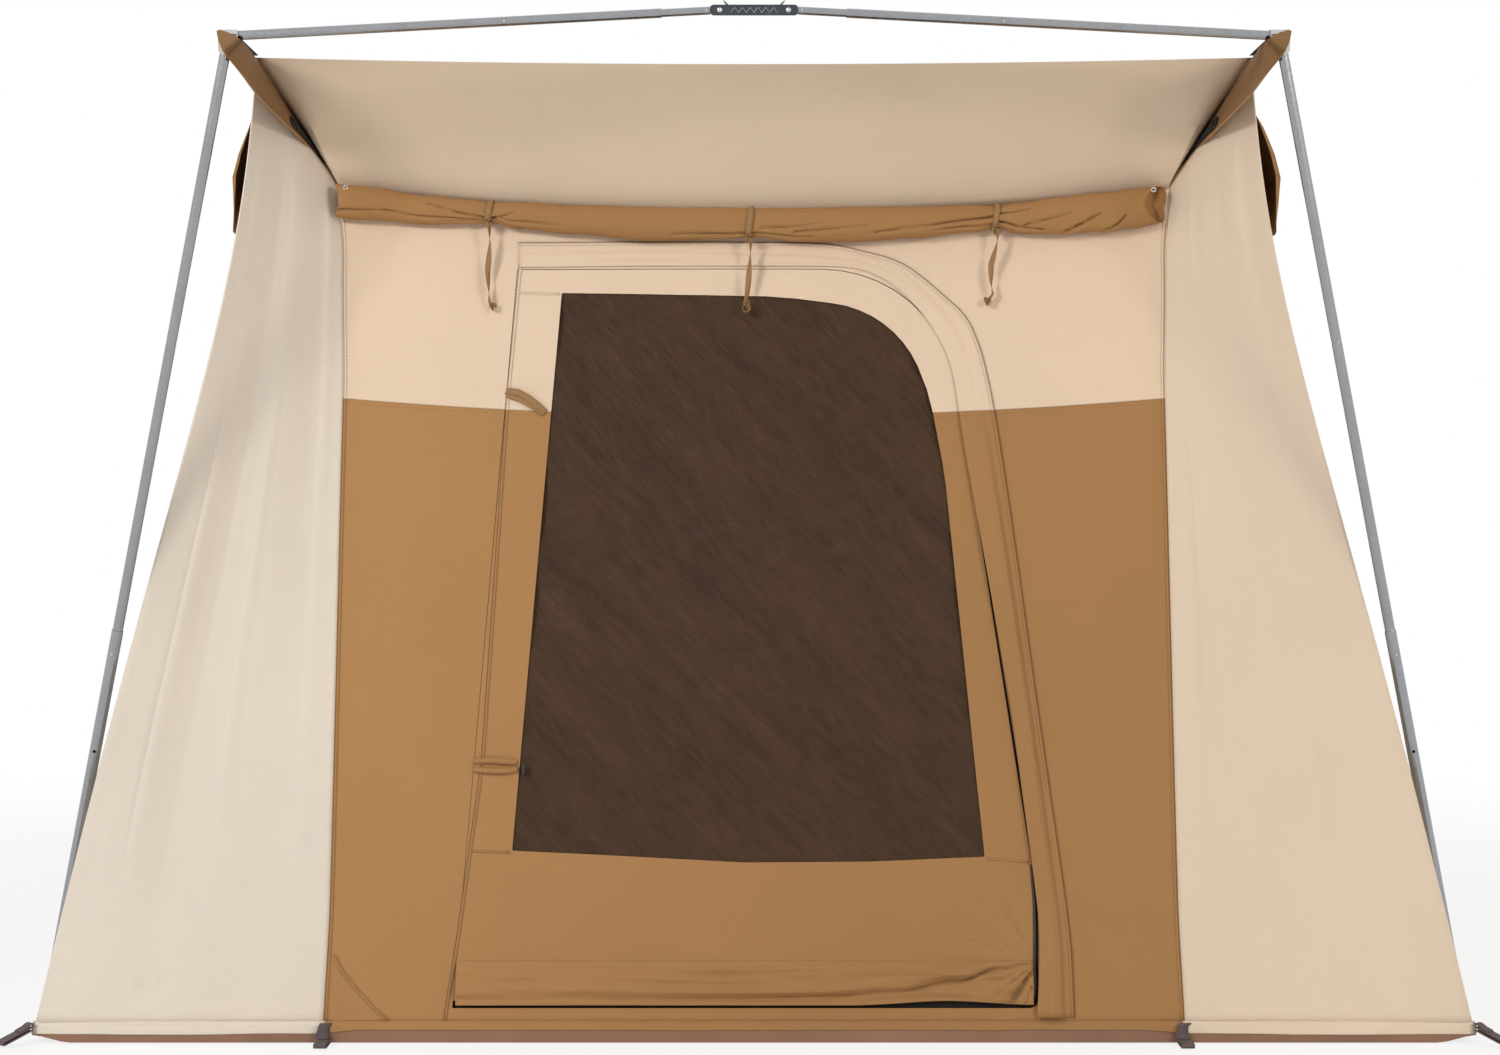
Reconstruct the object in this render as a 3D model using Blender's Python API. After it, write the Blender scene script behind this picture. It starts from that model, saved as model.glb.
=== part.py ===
"""Ten-foot canvas cabin tent hung from two folding steel arches.

Metres, +Z up. The origin is on the ground in the middle of the floor, +X is to the right
of someone facing the door, and the door faces -Y. The canvas skin is cut from flat panels
and sewn; each panel is a thin closed solid. Each arch stands in a plane that leans over the
tent's end wall, and is built in that plane: x across, z up the plane, y out of the plane.
"""
import math

import bmesh
import bpy
import numpy as np
from mathutils import Matrix, Vector

# Driving sizes of the canvas body
FLOOR_WIDTH = 3.048
RIM_HEIGHT = 0.040
TUB_SHEET = 0.003
CANVAS = 0.003
SEAM_GAP = 0.0003
ROOF_WIDTH = 2.150
ROOF_HEIGHT = 2.100
ROOF_SETBACK = 0.150
ROOF_SAG = 0.025
CORNER_HOLLOW = 0.030
CORNER_DRAW = 0.042
CORNER_DRAW_RISE = 2.4
WEDGE_HOLLOW = 0.022

# End wall panel that leans back, and the brow that overhangs it
PANEL_LEAN = 0.200
PANEL_WIDTH = 1.808
PANEL_FLARE_DROP = 0.060
BROW_SEAM_DROP = 0.300
BROW_SEAM_BOW = 0.045
BROW_TIP_FLARE = 0.071
BROW_TIP_DROP = 0.190
BROW_TIP_SPREAD = 0.93

# Door in the front panel: corners as (x, height) with their corner radii
DOOR_FOOT = 0.079
DOOR_HEAD = 1.660
DOOR_HINGE_FOOT_X = -0.636
DOOR_HINGE_HEAD_X = -0.525
DOOR_SHOULDER_X = 0.410
DOOR_SHOULDER_RADIUS = 0.300
DOOR_KNEE = (0.603, 0.330)
DOOR_KNEE_RADIUS = 0.500
DOOR_FOOT_X = 0.600
ZIP_GAP = 0.0006
MESH_HEAD_LEFT = (-0.426, 1.607)
MESH_HEAD_RIGHT = (0.372, 1.598)
MESH_SHOULDER_RADIUS = 0.220
MESH_FOOT_RIGHT = (0.492, 0.386)
MESH_FOOT_LEFT = (-0.516, 0.395)
SMALL_CORNER = 0.020

# Windows under the awnings
SIDE_WINDOW_WIDTH = 1.500
SIDE_WINDOW_FOOT = 0.800
SIDE_WINDOW_HEAD = 1.660
REAR_WINDOW_WIDTH = 1.300
REAR_WINDOW_FOOT = 0.850
REAR_WINDOW_HEAD = 1.620
WINDOW_CORNER = 0.080

# Awnings rolled over the end walls and folded along the side walls
ROLL_LENGTH = 1.840
ROLL_HEIGHT = 0.080
ROLL_DEPTH = 0.050
ROLL_DROP = 0.002
AWNING_LENGTH = 2.350
AWNING_TOP_DROP = 0.070
AWNING_HEIGHT = 0.290
AWNING_BULGE = 0.055
SOFT_GAP = 0.0008

# Corner gussets that hang the roof from the hubs
GUSSET = 0.002
GUSSET_TIP_WIDTH = 0.012
GUSSET_STANDOFF = 0.004

# Stake loops of webbing
LOOP_LENGTH = 0.075
LOOP_WIDTH = 0.027
LOOP_HEIGHT = 0.012
LOOP_WEB = 0.0025

# Arch: where its plane stands, then the steel tubes
ARCH_FOOT_OUT = 0.028
ARCH_FOOT_INSET = 0.235
ARCH_OVERHANG = 0.120
HUB_OUT = 0.010
CROWN_RISE = 0.052
PIVOT_X = 0.0707
TUBE_CLEARANCE = 0.0003
BAR_OUTER_RADIUS = 0.00975
BAR_WALL = 0.0012
BAR_SLEEVE_START = 0.120
BAR_INNER_LENGTH = 0.500
BAR_BUTTON_AT = 0.444
LEG_RADIUS = 0.0111
LEG_WALL = 0.0012
SLEEVE_WALL = 0.0011
SLEEVE_LENGTH = 0.900
SLEEVE_OVERLAP = 0.110
LEG_BUTTON_BELOW_SLEEVE_TOP = 0.052
SPARE_HOLE_BELOW_SLEEVE_TOP = 0.270
LEG_GROOVE_AT = 0.620
GROOVE_WIDTH = 0.004
GROOVE_DEPTH = 0.0006
FOOT_RADIUS = 0.0165
FOOT_HEIGHT = 0.055
DRAIN_RADIUS = 0.002
TUBE_SIDES = 12
PIN_SIDES = 10

# Crown link: a channel with two folding pivots and two sprung latches
LINK_LENGTH = 0.182
LINK_HEIGHT = 0.022
LINK_SHEET = 0.002
WEB_LENGTH = 0.112
RIVET_RADIUS = 0.003
RIVET_HEAD_RADIUS = 0.0055
RIVET_HEAD_HEIGHT = 0.0018
TONGUE_HEIGHT = 0.012
TONGUE_LENGTH = 0.020
TONGUE_COLLAR = 0.004
COLLAR_BORE = 0.001
LATCH_PIN = (0.046, 0.003)
LATCH_PIN_RADIUS = 0.0018
LATCH_WIDTH = 0.010
LATCH_OUTLINE = [
    (0.041, -0.001), (0.050, -0.0025), (0.0625, 0.0005), (0.0625, 0.0035), (0.054, 0.0055),
    (0.058, 0.011), (0.0640, 0.0185), (0.0620, 0.0195), (0.0555, 0.0135), (0.050, 0.0085),
    (0.044, 0.0085), (0.0405, 0.005),
]

# Hub: a folded bracket that carries the bar's end and the leg's pivot
HUB_SHEET = 0.0018
HUB_SIDE_GAP = 0.0005
LEG_PIVOT_OUT = 0.005
LEG_PIVOT_DROP = 0.024
LEG_TOP_ABOVE_PIVOT = 0.006
LEG_PIN_RADIUS = 0.004
BAR_RIVET_BACK = 0.012
HUB_OUTLINE = [
    (-0.022, 0.0), (-0.022, -0.011), (-0.010, -0.030), (-0.002, -0.038), (0.012, -0.038),
    (0.019, -0.030), (0.019, 0.0),
]

# Snap buttons: a pin on a leaf spring inside the tube
BUTTON_RADIUS = 0.0032
BUTTON_HOLE_CLEARANCE = 0.0003
BUTTON_STANDS_OUT = 0.0026
BUTTON_DOME = 0.0016
BUTTON_DOME_EDGE = 0.0004
BUTTON_FACE_RADIUS = 0.0024
BUTTON_CORE = 0.0002
LEAF_LENGTH = 0.034
LEAF_WIDTH = 0.006
LEAF_SHEET = 0.0008
LEAF_INSET = 0.0016

# Sizes worked out from the driving ones
HALF = FLOOR_WIDTH / 2
ROOF_HALF = ROOF_WIDTH / 2
ROOF_EDGE = HALF - ROOF_SETBACK
SIDE_LEAN = (HALF - ROOF_HALF) / ROOF_HEIGHT
BROW_SEAM_HEIGHT = ROOF_HEIGHT - BROW_SEAM_DROP
BROW_TIP_HEIGHT = ROOF_HEIGHT - BROW_TIP_DROP
BROW_TIP_X = PANEL_WIDTH / 2 + BROW_TIP_FLARE
PANEL_FLARE_HEIGHT = BROW_SEAM_HEIGHT - PANEL_FLARE_DROP
AWNING_TOP = ROOF_HEIGHT - AWNING_TOP_DROP
AWNING_FOOT = AWNING_TOP - AWNING_HEIGHT
HUB_X = ROOF_HALF + HUB_OUT
ARCH_FOOT_X = HALF + ARCH_FOOT_OUT
SKIN_FOOT = RIM_HEIGHT + SEAM_GAP + CANVAS * (SIDE_LEAN + PANEL_LEAN)
BAR_INNER_RADIUS = BAR_OUTER_RADIUS - BAR_WALL - TUBE_CLEARANCE
SLEEVE_RADIUS = LEG_RADIUS + TUBE_CLEARANCE + SLEEVE_WALL
ARCH_LEAN = math.atan((ARCH_FOOT_INSET + ARCH_OVERHANG) / ROOF_HEIGHT)
HUB_Z = ROOF_HEIGHT / math.cos(ARCH_LEAN)
PIVOT_Z = (ROOF_HEIGHT + CROWN_RISE) / math.cos(ARCH_LEAN)

COLOURS = {
    "tan_canvas": ((0.76, 0.60, 0.41), 0.85, 0.0),
    "cream_canvas": ((0.78, 0.70, 0.58), 0.85, 0.0),
    "brown_canvas": ((0.43, 0.26, 0.11), 0.85, 0.0),
    "window_mesh": ((0.07, 0.04, 0.025), 0.9, 0.0),
    "tub": ((0.43, 0.26, 0.18), 0.6, 0.0),
    "webbing": ((0.12, 0.09, 0.09), 0.9, 0.0),
    "steel": ((0.45, 0.46, 0.48), 0.28, 1.0),
    "dark_steel": ((0.06, 0.07, 0.08), 0.4, 1.0),
    "zinc": ((0.75, 0.74, 0.72), 0.25, 1.0),
}


def clear_scene():
    """Start from an empty file."""
    for obj in list(bpy.data.objects):
        bpy.data.objects.remove(obj, do_unlink=True)


def finish_of(slot):
    """The Principled material of one finish, made once."""
    if slot in bpy.data.materials:
        return bpy.data.materials[slot]
    colour, roughness, metallic = COLOURS[slot]
    mat = bpy.data.materials.new(slot)
    mat.use_nodes = True
    shader = mat.node_tree.nodes["Principled BSDF"]
    shader.inputs["Base Color"].default_value = (*colour, 1.0)
    shader.inputs["Roughness"].default_value = roughness
    shader.inputs["Metallic"].default_value = metallic
    return mat


def add_object(name, bm, slot, smooth=True):
    """Turn a bmesh into a named object with its finish."""
    mesh = bpy.data.meshes.new(name)
    bm.to_mesh(mesh)
    bm.free()
    if smooth:
        mesh.shade_smooth()
        mesh.set_sharp_from_angle(angle=math.radians(30))
    obj = bpy.data.objects.new(name, mesh)
    bpy.context.scene.collection.objects.link(obj)
    mesh.materials.append(finish_of(slot))
    return obj


def combine(target, tools, operation):
    """Join or cut the target with each tool, then drop the tools."""
    for tool in tools:
        modifier = target.modifiers.new(operation.lower(), "BOOLEAN")
        modifier.operation = operation
        modifier.solver = "EXACT"
        modifier.object = tool
    bpy.context.view_layer.update()
    graph = bpy.context.evaluated_depsgraph_get()
    merged = bpy.data.meshes.new_from_object(target.evaluated_get(graph))
    target.modifiers.clear()
    target.data = merged
    for tool in tools:
        bpy.data.objects.remove(tool, do_unlink=True)
    return target


def rounded_outline(corners, step=math.radians(12)):
    """Outline through corners given as (x, y, radius), with each corner rounded by an arc."""
    points = []
    count = len(corners)
    for index, (x, y, radius) in enumerate(corners):
        here = Vector((x, y))
        to_last = (Vector(corners[index - 1][:2]) - here).normalized()
        to_next = (Vector(corners[(index + 1) % count][:2]) - here).normalized()
        opening = to_last.angle(to_next)
        turn = math.pi - opening
        if radius <= 0 or turn < 1e-4:
            points.append(here)
            continue
        reach = radius / math.tan(opening / 2)
        centre = here + (to_last + to_next).normalized() * (radius / math.sin(opening / 2))
        start = here + to_last * reach - centre
        sign = 1 if to_last.x * to_next.y - to_last.y * to_next.x < 0 else -1
        steps = max(1, round(turn / step))
        for k in range(steps + 1):
            points.append(centre + Matrix.Rotation(sign * turn * k / steps, 2) @ start)
    return points


def grown(points, amount):
    """The outline with each edge moved outwards by amount, or inwards where it is negative."""
    area = sum(a.x * b.y - b.x * a.y for a, b in zip(points, points[1:] + points[:1]))
    side = 1 if area > 0 else -1
    result = []
    for index, here in enumerate(points):
        before = (here - points[index - 1]).normalized()
        after = (points[(index + 1) % len(points)] - here).normalized()
        out_before = Vector((before.y, -before.x)) * side
        out_after = Vector((after.y, -after.x)) * side
        mitre = out_before + out_after
        result.append(here + mitre * (2 * amount / mitre.length_squared))
    return result


def prism(outline, near, far, place):
    """Bmesh of an outline extruded from depth near to depth far; place maps (u, v, depth)."""
    bm = bmesh.new()
    ring = [bm.verts.new(place(point[0], point[1], near)) for point in outline]
    face = bm.faces.new(ring)
    pushed = bmesh.ops.extrude_face_region(bm, geom=[face])["geom"]
    moved = [item for item in pushed if isinstance(item, bmesh.types.BMVert)]
    shift = place(0, 0, far) - place(0, 0, near)
    bmesh.ops.translate(bm, verts=moved, vec=shift)
    bmesh.ops.recalc_face_normals(bm, faces=bm.faces)
    return bm


def turned(profile, sides=TUBE_SIDES):
    """Bmesh of a closed profile of (x, radius) points turned about the x axis."""
    bm = bmesh.new()
    verts = [bm.verts.new((x, 0, radius)) for x, radius in profile]
    edges = [bm.edges.new(pair) for pair in zip(verts, verts[1:] + verts[:1])]
    bmesh.ops.spin(bm, geom=verts + edges, cent=(0, 0, 0), axis=(1, 0, 0), dvec=(0, 0, 0),
                   angle=2 * math.pi, steps=sides, use_merge=True, use_duplicate=False)
    bmesh.ops.recalc_face_normals(bm, faces=bm.faces)
    return bm


def cross_pin(x, z, radius, near, far, sides=PIN_SIDES):
    """Bmesh of a round pin along y at (x, z)."""
    bm = bmesh.new()
    turn = Matrix.Rotation(math.pi / 2, 4, "X")
    bmesh.ops.create_cone(bm, cap_ends=True, segments=sides, radius1=radius, radius2=radius,
                          depth=far - near, matrix=Matrix.Translation((x, (near + far) / 2, z)) @ turn)
    return bm


def block(low, high):
    """Bmesh of a box between two corners."""
    low = Vector(low)
    high = Vector(high)
    bm = bmesh.new()
    size = high - low
    matrix = Matrix.Translation((low + high) / 2) @ Matrix.Diagonal((*size, 1))
    bmesh.ops.create_cube(bm, size=1, matrix=matrix)
    return bm


def flat(x, z, y):
    """Place an outline of the arch's plane: x across, z up, y as its depth."""
    return Vector((x, y, z))


# Canvas skin

def end_wall(sign):
    """Place points of the end wall at y = sign * HALF: (x, height, depth into the tent)."""
    length = math.hypot(1, PANEL_LEAN)
    inward = Vector((0, -sign, -PANEL_LEAN)) / length

    def place(x, height, depth):
        foot = Vector((x, sign * (HALF - PANEL_LEAN * height), height))
        return foot + inward * depth
    return place


def side_wall(sign):
    """Place points of the side wall at x = sign * HALF: (y, height, depth into the tent)."""
    length = math.hypot(1, SIDE_LEAN)
    inward = Vector((-sign, 0, -SIDE_LEAN)) / length

    def place(y, height, depth):
        foot = Vector((sign * (HALF - SIDE_LEAN * height), y, height))
        return foot + inward * depth
    return place


PANEL_SPREAD = [-1, -BROW_TIP_SPREAD, -0.5, 0, 0.5, BROW_TIP_SPREAD, 1]
SEAM_SHARES = [0.0, 0.21, 0.45, 0.78, 1.0]
SEAM_HEIGHTS = [SKIN_FOOT + (PANEL_FLARE_HEIGHT - SKIN_FOOT) * share for share in SEAM_SHARES]
SIDE_SHARES = [-0.58, -0.29, 0.0, 0.29, 0.58]


def brow_seam(spread, sign):
    """Point of the seam between end panel and brow; spread runs from -1 to 1 across."""
    height = BROW_SEAM_HEIGHT + BROW_SEAM_BOW * spread ** 2
    if abs(spread) == 1:
        height = BROW_TIP_HEIGHT
    return end_wall(sign)(spread * BROW_TIP_X, height, 0)


def panel_grid(sign):
    """Rows of points of the end panel, from the rim up to the brow seam."""
    place = end_wall(sign)
    rows = [[place(spread * PANEL_WIDTH / 2, height, 0) for spread in PANEL_SPREAD]
            for height in SEAM_HEIGHTS]
    rows.append([brow_seam(spread, sign) for spread in PANEL_SPREAD])
    return rows


def corner_point(height, sign_x, sign_y):
    """Point of the corner seam, which is drawn in a little between the rim and the roof."""
    share = height / ROOF_HEIGHT
    hollow = CORNER_HOLLOW * math.sin(math.pi * share)
    draw = CORNER_DRAW * math.sin(math.pi * share ** CORNER_DRAW_RISE)
    x = HALF - SIDE_LEAN * height - draw
    y = HALF - ROOF_SETBACK * share - hollow
    return Vector((sign_x * x, sign_y * y, height))


def roof_point(across, along):
    """Point of the roof; across and along run from -1 to 1."""
    sag = ROOF_SAG * (1 - across ** 2) * (1 - along ** 2)
    return Vector((across * ROOF_HALF, along * ROOF_EDGE, ROOF_HEIGHT - sag))


def wedge_middle(seam, corner):
    """Point halfway across a wedge, drawn in between the rim and the brow."""
    depth = WEDGE_HOLLOW * math.sin(math.pi * seam.z / ROOF_HEIGHT)
    return seam.lerp(corner, 0.5) - Vector((0, math.copysign(depth, seam.y), 0))


def side_grid(sign):
    """Rows of points of one side: front wedge, side wall and rear wedge."""
    rows = []
    for height in SEAM_HEIGHTS:
        front_seam = end_wall(-1)(sign * PANEL_WIDTH / 2, height, 0)
        rear_seam = end_wall(1)(sign * PANEL_WIDTH / 2, height, 0)
        front_corner = corner_point(height, sign, -1)
        rear_corner = corner_point(height, sign, 1)
        wall = [side_wall(sign)(share * ROOF_EDGE, height, 0) for share in SIDE_SHARES]
        rows.append([front_seam, wedge_middle(front_seam, front_corner), front_corner, *wall,
                     rear_corner, wedge_middle(rear_seam, rear_corner), rear_seam])
    front_tip = brow_seam(sign, -1)
    rear_tip = brow_seam(sign, 1)
    front_corner = roof_point(sign, -1)
    rear_corner = roof_point(sign, 1)
    edge = [roof_point(sign, share) for share in SIDE_SHARES]
    rows.append([front_tip, front_tip.lerp(front_corner, 0.5), front_corner, *edge,
                 rear_corner, rear_tip.lerp(rear_corner, 0.5), rear_tip])
    return rows


def roof_grid():
    """Rows of points of the roof with the brow at each end folded down to its seam."""
    roof = [[roof_point(spread, along) for spread in PANEL_SPREAD] for along in [-1, *SIDE_SHARES, 1]]
    front = [brow_seam(spread, -1) for spread in PANEL_SPREAD]
    rear = [brow_seam(spread, 1) for spread in PANEL_SPREAD]
    front_middle = [low.lerp(high, 0.5) for low, high in zip(front, roof[0])]
    rear_middle = [low.lerp(high, 0.5) for low, high in zip(rear, roof[-1])]
    return [front, front_middle, *roof, rear_middle, rear]


def skin_offsets(grids):
    """For each point of the whole skin, the step inwards that leaves CANVAS of thickness."""
    centre = Vector((0, 0, ROOF_HEIGHT / 2))
    normals = {}
    for rows in grids:
        faces = []
        for low, high in zip(rows, rows[1:]):
            for a, b, c, d in zip(low, low[1:], high[1:], high):
                faces.append(((a, b, c, d), (c - a).cross(d - b)))
        facing = sum(normal.dot(corners[0] - centre) for corners, normal in faces)
        for corners, normal in faces:
            outward = normal.normalized() * math.copysign(1, facing)
            for point in corners:
                normals.setdefault(point_key(point), []).append(tuple(outward))
    offsets = {}
    for key, around in normals.items():
        step = np.linalg.lstsq(np.array(around), np.full(len(around), -CANVAS), rcond=0.05)[0]
        offsets[key] = Vector(step)
    return offsets


def point_key(point):
    """Key that is the same for one seam point in every panel that shares it."""
    return tuple(round(value, 5) for value in point)


def sheet(name, rows, offsets, slot, foot_open=True):
    """Closed thin solid of one panel, drawn back from its seams by half the seam gap."""
    last = len(rows) - 1
    end = len(rows[0]) - 1
    outer = []
    inner = []
    for r, row in enumerate(rows):
        for c, point in enumerate(row):
            drawn = Vector((0, 0, 0))
            if c in (0, end):
                drawn += (row[1 if c == 0 else end - 1] - point).normalized()
            if r == last or (r == 0 and not foot_open):
                drawn += (rows[1 if r == 0 else last - 1][c] - point).normalized()
            start = point + drawn * SEAM_GAP * 0.75
            outer.append(start)
            inner.append(start + offsets[point_key(point)])
    bm = bmesh.new()
    layers = [[bm.verts.new(point) for point in layer] for layer in (outer, inner)]
    wide = end + 1
    for layer in layers:
        for r in range(last):
            for c in range(end):
                corner = r * wide + c
                bm.faces.new([layer[corner], layer[corner + 1], layer[corner + wide + 1],
                              layer[corner + wide]])
    rim = ([c for c in range(end)] + [r * wide + end for r in range(last)]
           + [last * wide + end - c for c in range(end)] + [(last - r) * wide for r in range(last)])
    for here, there in zip(rim, rim[1:] + rim[:1]):
        bm.faces.new([layers[0][here], layers[0][there], layers[1][there], layers[1][here]])
    bmesh.ops.triangulate(bm, faces=bm.faces)
    bmesh.ops.recalc_face_normals(bm, faces=bm.faces)
    return add_object(name, bm, slot)


def wall_cutter(outline, place):
    """Cutter that goes right through a wall along an outline."""
    cutter = add_object("cutter", prism(outline, -5 * CANVAS, 5 * CANVAS, place), "steel")
    cutter.hide_render = True
    cutter.display_type = "WIRE"
    return cutter


def window_outline(width, foot, head):
    """Outline of a window with rounded corners, centred on its wall."""
    half = width / 2
    corners = [(-half, foot), (half, foot), (half, head), (-half, head)]
    return rounded_outline([(x, z, WINDOW_CORNER) for x, z in corners], math.radians(30))


def door_outline():
    """The zip line and the sewn hinge edge of the door."""
    return rounded_outline([
        (DOOR_HINGE_FOOT_X, DOOR_FOOT, 0),
        (DOOR_FOOT_X, DOOR_FOOT, SMALL_CORNER),
        (*DOOR_KNEE, DOOR_KNEE_RADIUS),
        (DOOR_SHOULDER_X, DOOR_HEAD, DOOR_SHOULDER_RADIUS),
        (DOOR_HINGE_HEAD_X, DOOR_HEAD, 0),
    ])


def door_window_outline():
    """The mesh window in the door."""
    return rounded_outline([
        (*MESH_FOOT_LEFT, SMALL_CORNER),
        (*MESH_FOOT_RIGHT, SMALL_CORNER),
        (*MESH_HEAD_RIGHT, MESH_SHOULDER_RADIUS),
        (*MESH_HEAD_LEFT, SMALL_CORNER),
    ])


def build_tub():
    """Floor sheet with its rim turned up, which the skin is sewn to."""
    draw_in = PANEL_LEAN * RIM_HEIGHT
    bm = bmesh.new()
    bmesh.ops.create_grid(bm, x_segments=1, y_segments=1, size=HALF)
    floor = bm.faces[:]
    raised = bmesh.ops.extrude_face_region(bm, geom=floor)["geom"]
    top = [item for item in raised if isinstance(item, bmesh.types.BMVert)]
    for vert in top:
        vert.co.x -= math.copysign(draw_in, vert.co.x)
        vert.co.y -= math.copysign(draw_in, vert.co.y)
        vert.co.z += RIM_HEIGHT
    bm.faces.ensure_lookup_table()
    lid = [face for face in bm.faces if all(vert.co.z > RIM_HEIGHT / 2 for vert in face.verts)]
    bmesh.ops.inset_region(bm, faces=lid, thickness=TUB_SHEET, use_even_offset=True)
    bmesh.ops.translate(bm, verts=list(lid[0].verts), vec=(0, 0, TUB_SHEET - RIM_HEIGHT))
    bmesh.ops.recalc_face_normals(bm, faces=bm.faces)
    return add_object("floor_tub", bm, "tub", smooth=False)


def build_skin():
    """The sewn canvas body: two end panels, two sides and the roof with its brows."""
    front = panel_grid(-1)
    rear = panel_grid(1)
    left = side_grid(-1)
    right = side_grid(1)
    roof = roof_grid()
    offsets = skin_offsets([front, rear, left, right, roof])
    panels = {
        "front_panel": sheet("front_panel", front, offsets, "tan_canvas"),
        "rear_panel": sheet("rear_panel", rear, offsets, "tan_canvas"),
        "side_panel_left": sheet("side_panel_left", left, offsets, "cream_canvas"),
        "side_panel_right": sheet("side_panel_right", right, offsets, "cream_canvas"),
        "roof_canopy": sheet("roof_canopy", roof, offsets, "tan_canvas", foot_open=False),
    }
    return panels, offsets


def build_door(front_panel):
    """Door leaf and its mesh window, both in the leaning plane of the front panel."""
    place = end_wall(-1)
    combine(front_panel, [wall_cutter(grown(door_outline(), ZIP_GAP), place)], "DIFFERENCE")
    leaf = add_object("door_leaf", prism(door_outline(), 0, CANVAS, place), "brown_canvas")
    combine(leaf, [wall_cutter(door_window_outline(), place)], "DIFFERENCE")
    window = prism(grown(door_window_outline(), -SEAM_GAP), 0, CANVAS, place)
    add_object("door_mesh", window, "window_mesh")


def build_windows(panels):
    """Mesh windows of both sides and the rear, cut into their walls."""
    side = window_outline(SIDE_WINDOW_WIDTH, SIDE_WINDOW_FOOT, SIDE_WINDOW_HEAD)
    rear = window_outline(REAR_WINDOW_WIDTH, REAR_WINDOW_FOOT, REAR_WINDOW_HEAD)
    jobs = [("side_panel_left", "side_mesh_left", side_wall(-1), side),
            ("side_panel_right", "side_mesh_right", side_wall(1), side),
            ("rear_panel", "rear_mesh", end_wall(1), rear)]
    for wall, name, place, outline in jobs:
        combine(panels[wall], [wall_cutter(outline, place)], "DIFFERENCE")
        add_object(name, prism(grown(outline, -SEAM_GAP), 0, CANVAS, place), "window_mesh")


def build_awning_roll(name, sign):
    """Awning rolled up under the brow seam, a flat roll that follows the seam's bow."""
    place = end_wall(sign)
    sides = 12
    stations = 8
    rings = []
    bm = bmesh.new()
    for k in range(stations + 1):
        spread = 2 * k / stations - 1
        x = spread * ROLL_LENGTH / 2
        crest = BROW_SEAM_HEIGHT + BROW_SEAM_BOW * spread ** 2 - ROLL_DROP
        ring = []
        for j in range(sides):
            turn = 2 * math.pi * j / sides
            height = crest - ROLL_HEIGHT / 2 * (1 - math.sin(turn))
            depth = -SOFT_GAP - ROLL_DEPTH / 2 * (1 - math.cos(turn))
            ring.append(bm.verts.new(place(x, height, depth)))
        rings.append(ring)
    for ring, beyond in zip(rings, rings[1:]):
        for j in range(sides):
            after = (j + 1) % sides
            bm.faces.new([ring[j], ring[after], beyond[after], beyond[j]])
    bm.faces.new(rings[0])
    bm.faces.new(rings[-1])
    bmesh.ops.recalc_face_normals(bm, faces=bm.faces)
    return add_object(name, bm, "brown_canvas")


def build_side_awning(name, sign):
    """Awning folded up along the roof edge, bulging out from the side wall."""
    half = AWNING_LENGTH / 2
    place = side_wall(sign)
    steps = 6
    drop = AWNING_TOP - AWNING_FOOT
    outline = []
    for k in range(steps + 1):
        share = k / steps
        bulge = AWNING_BULGE * math.sin(math.pi * share) ** 0.8
        outline.append(Vector((AWNING_TOP - drop * share, -SOFT_GAP - bulge)))

    def across(height, depth, y):
        return place(y, height, depth)
    return add_object(name, prism(outline, -half, half, across), "brown_canvas")


def build_gusset(name, sign_x, sign_y, offsets):
    """Triangle of canvas along the brow's end seam, whose cut-off tip is sewn to the hub."""
    hub = Vector((sign_x * HUB_X, sign_y * (HALF + ARCH_OVERHANG), ROOF_HEIGHT))
    corner = roof_point(sign_x, sign_y)
    tip = brow_seam(sign_x, sign_y)
    low = tip - offsets[point_key(tip)].normalized() * GUSSET_STANDOFF
    high = corner - offsets[point_key(corner)].normalized() * GUSSET_STANDOFF
    normal = (low - hub).cross(high - hub).normalized()
    inward = Vector((0, -sign_y * math.cos(ARCH_LEAN), math.sin(ARCH_LEAN)))
    reach = hub_half_width() + SEAM_GAP + abs(normal.dot(inward)) * GUSSET / 2
    ends = [hub + (end - hub) * reach / (end - hub).dot(inward) for end in (low, high)]
    tip_middle = ends[0].lerp(ends[1], 0.5)
    tip_half = (ends[1] - ends[0]).normalized() * GUSSET_TIP_WIDTH / 2
    outline = [low, high, tip_middle + tip_half, tip_middle - tip_half]
    bm = bmesh.new()
    face = bm.faces.new([bm.verts.new(point - normal * GUSSET / 2) for point in outline])
    pushed = bmesh.ops.extrude_face_region(bm, geom=[face])["geom"]
    moved = [item for item in pushed if isinstance(item, bmesh.types.BMVert)]
    bmesh.ops.translate(bm, verts=moved, vec=normal * GUSSET)
    bmesh.ops.recalc_face_normals(bm, faces=bm.faces)
    return add_object(name, bm, "brown_canvas", smooth=False)


def build_stake_loop(name, x, y, heading):
    """Loop of webbing that lies on the ground and points outwards along its heading."""
    radius = LOOP_HEIGHT / 2
    long_half = LOOP_LENGTH / 2 - radius
    ring = []
    for centre, start in ((long_half, -90), (-long_half, 90)):
        for k in range(7):
            turn = math.radians(start + 30 * k)
            ring.append((centre, math.cos(turn), math.sin(turn)))

    def loop_at(size):
        return [Vector((centre + size * c, radius + size * s)) for centre, c, s in ring]
    half = LOOP_WIDTH / 2
    loop = add_object(name, prism(loop_at(radius), -half, half, flat), "webbing")
    inside = add_object("cutter", prism(loop_at(radius - LOOP_WEB), -LOOP_WIDTH, LOOP_WIDTH, flat),
                        "webbing")
    combine(loop, [inside], "DIFFERENCE")
    lean = PANEL_LEAN * (abs(math.cos(heading)) + abs(math.sin(heading)))
    reach = long_half + math.hypot(1, lean) * (radius + SEAM_GAP) - lean * radius
    loop.rotation_euler = (0, 0, heading)
    loop.location = (x + reach * math.cos(heading), y + reach * math.sin(heading), 0)
    return loop


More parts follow.
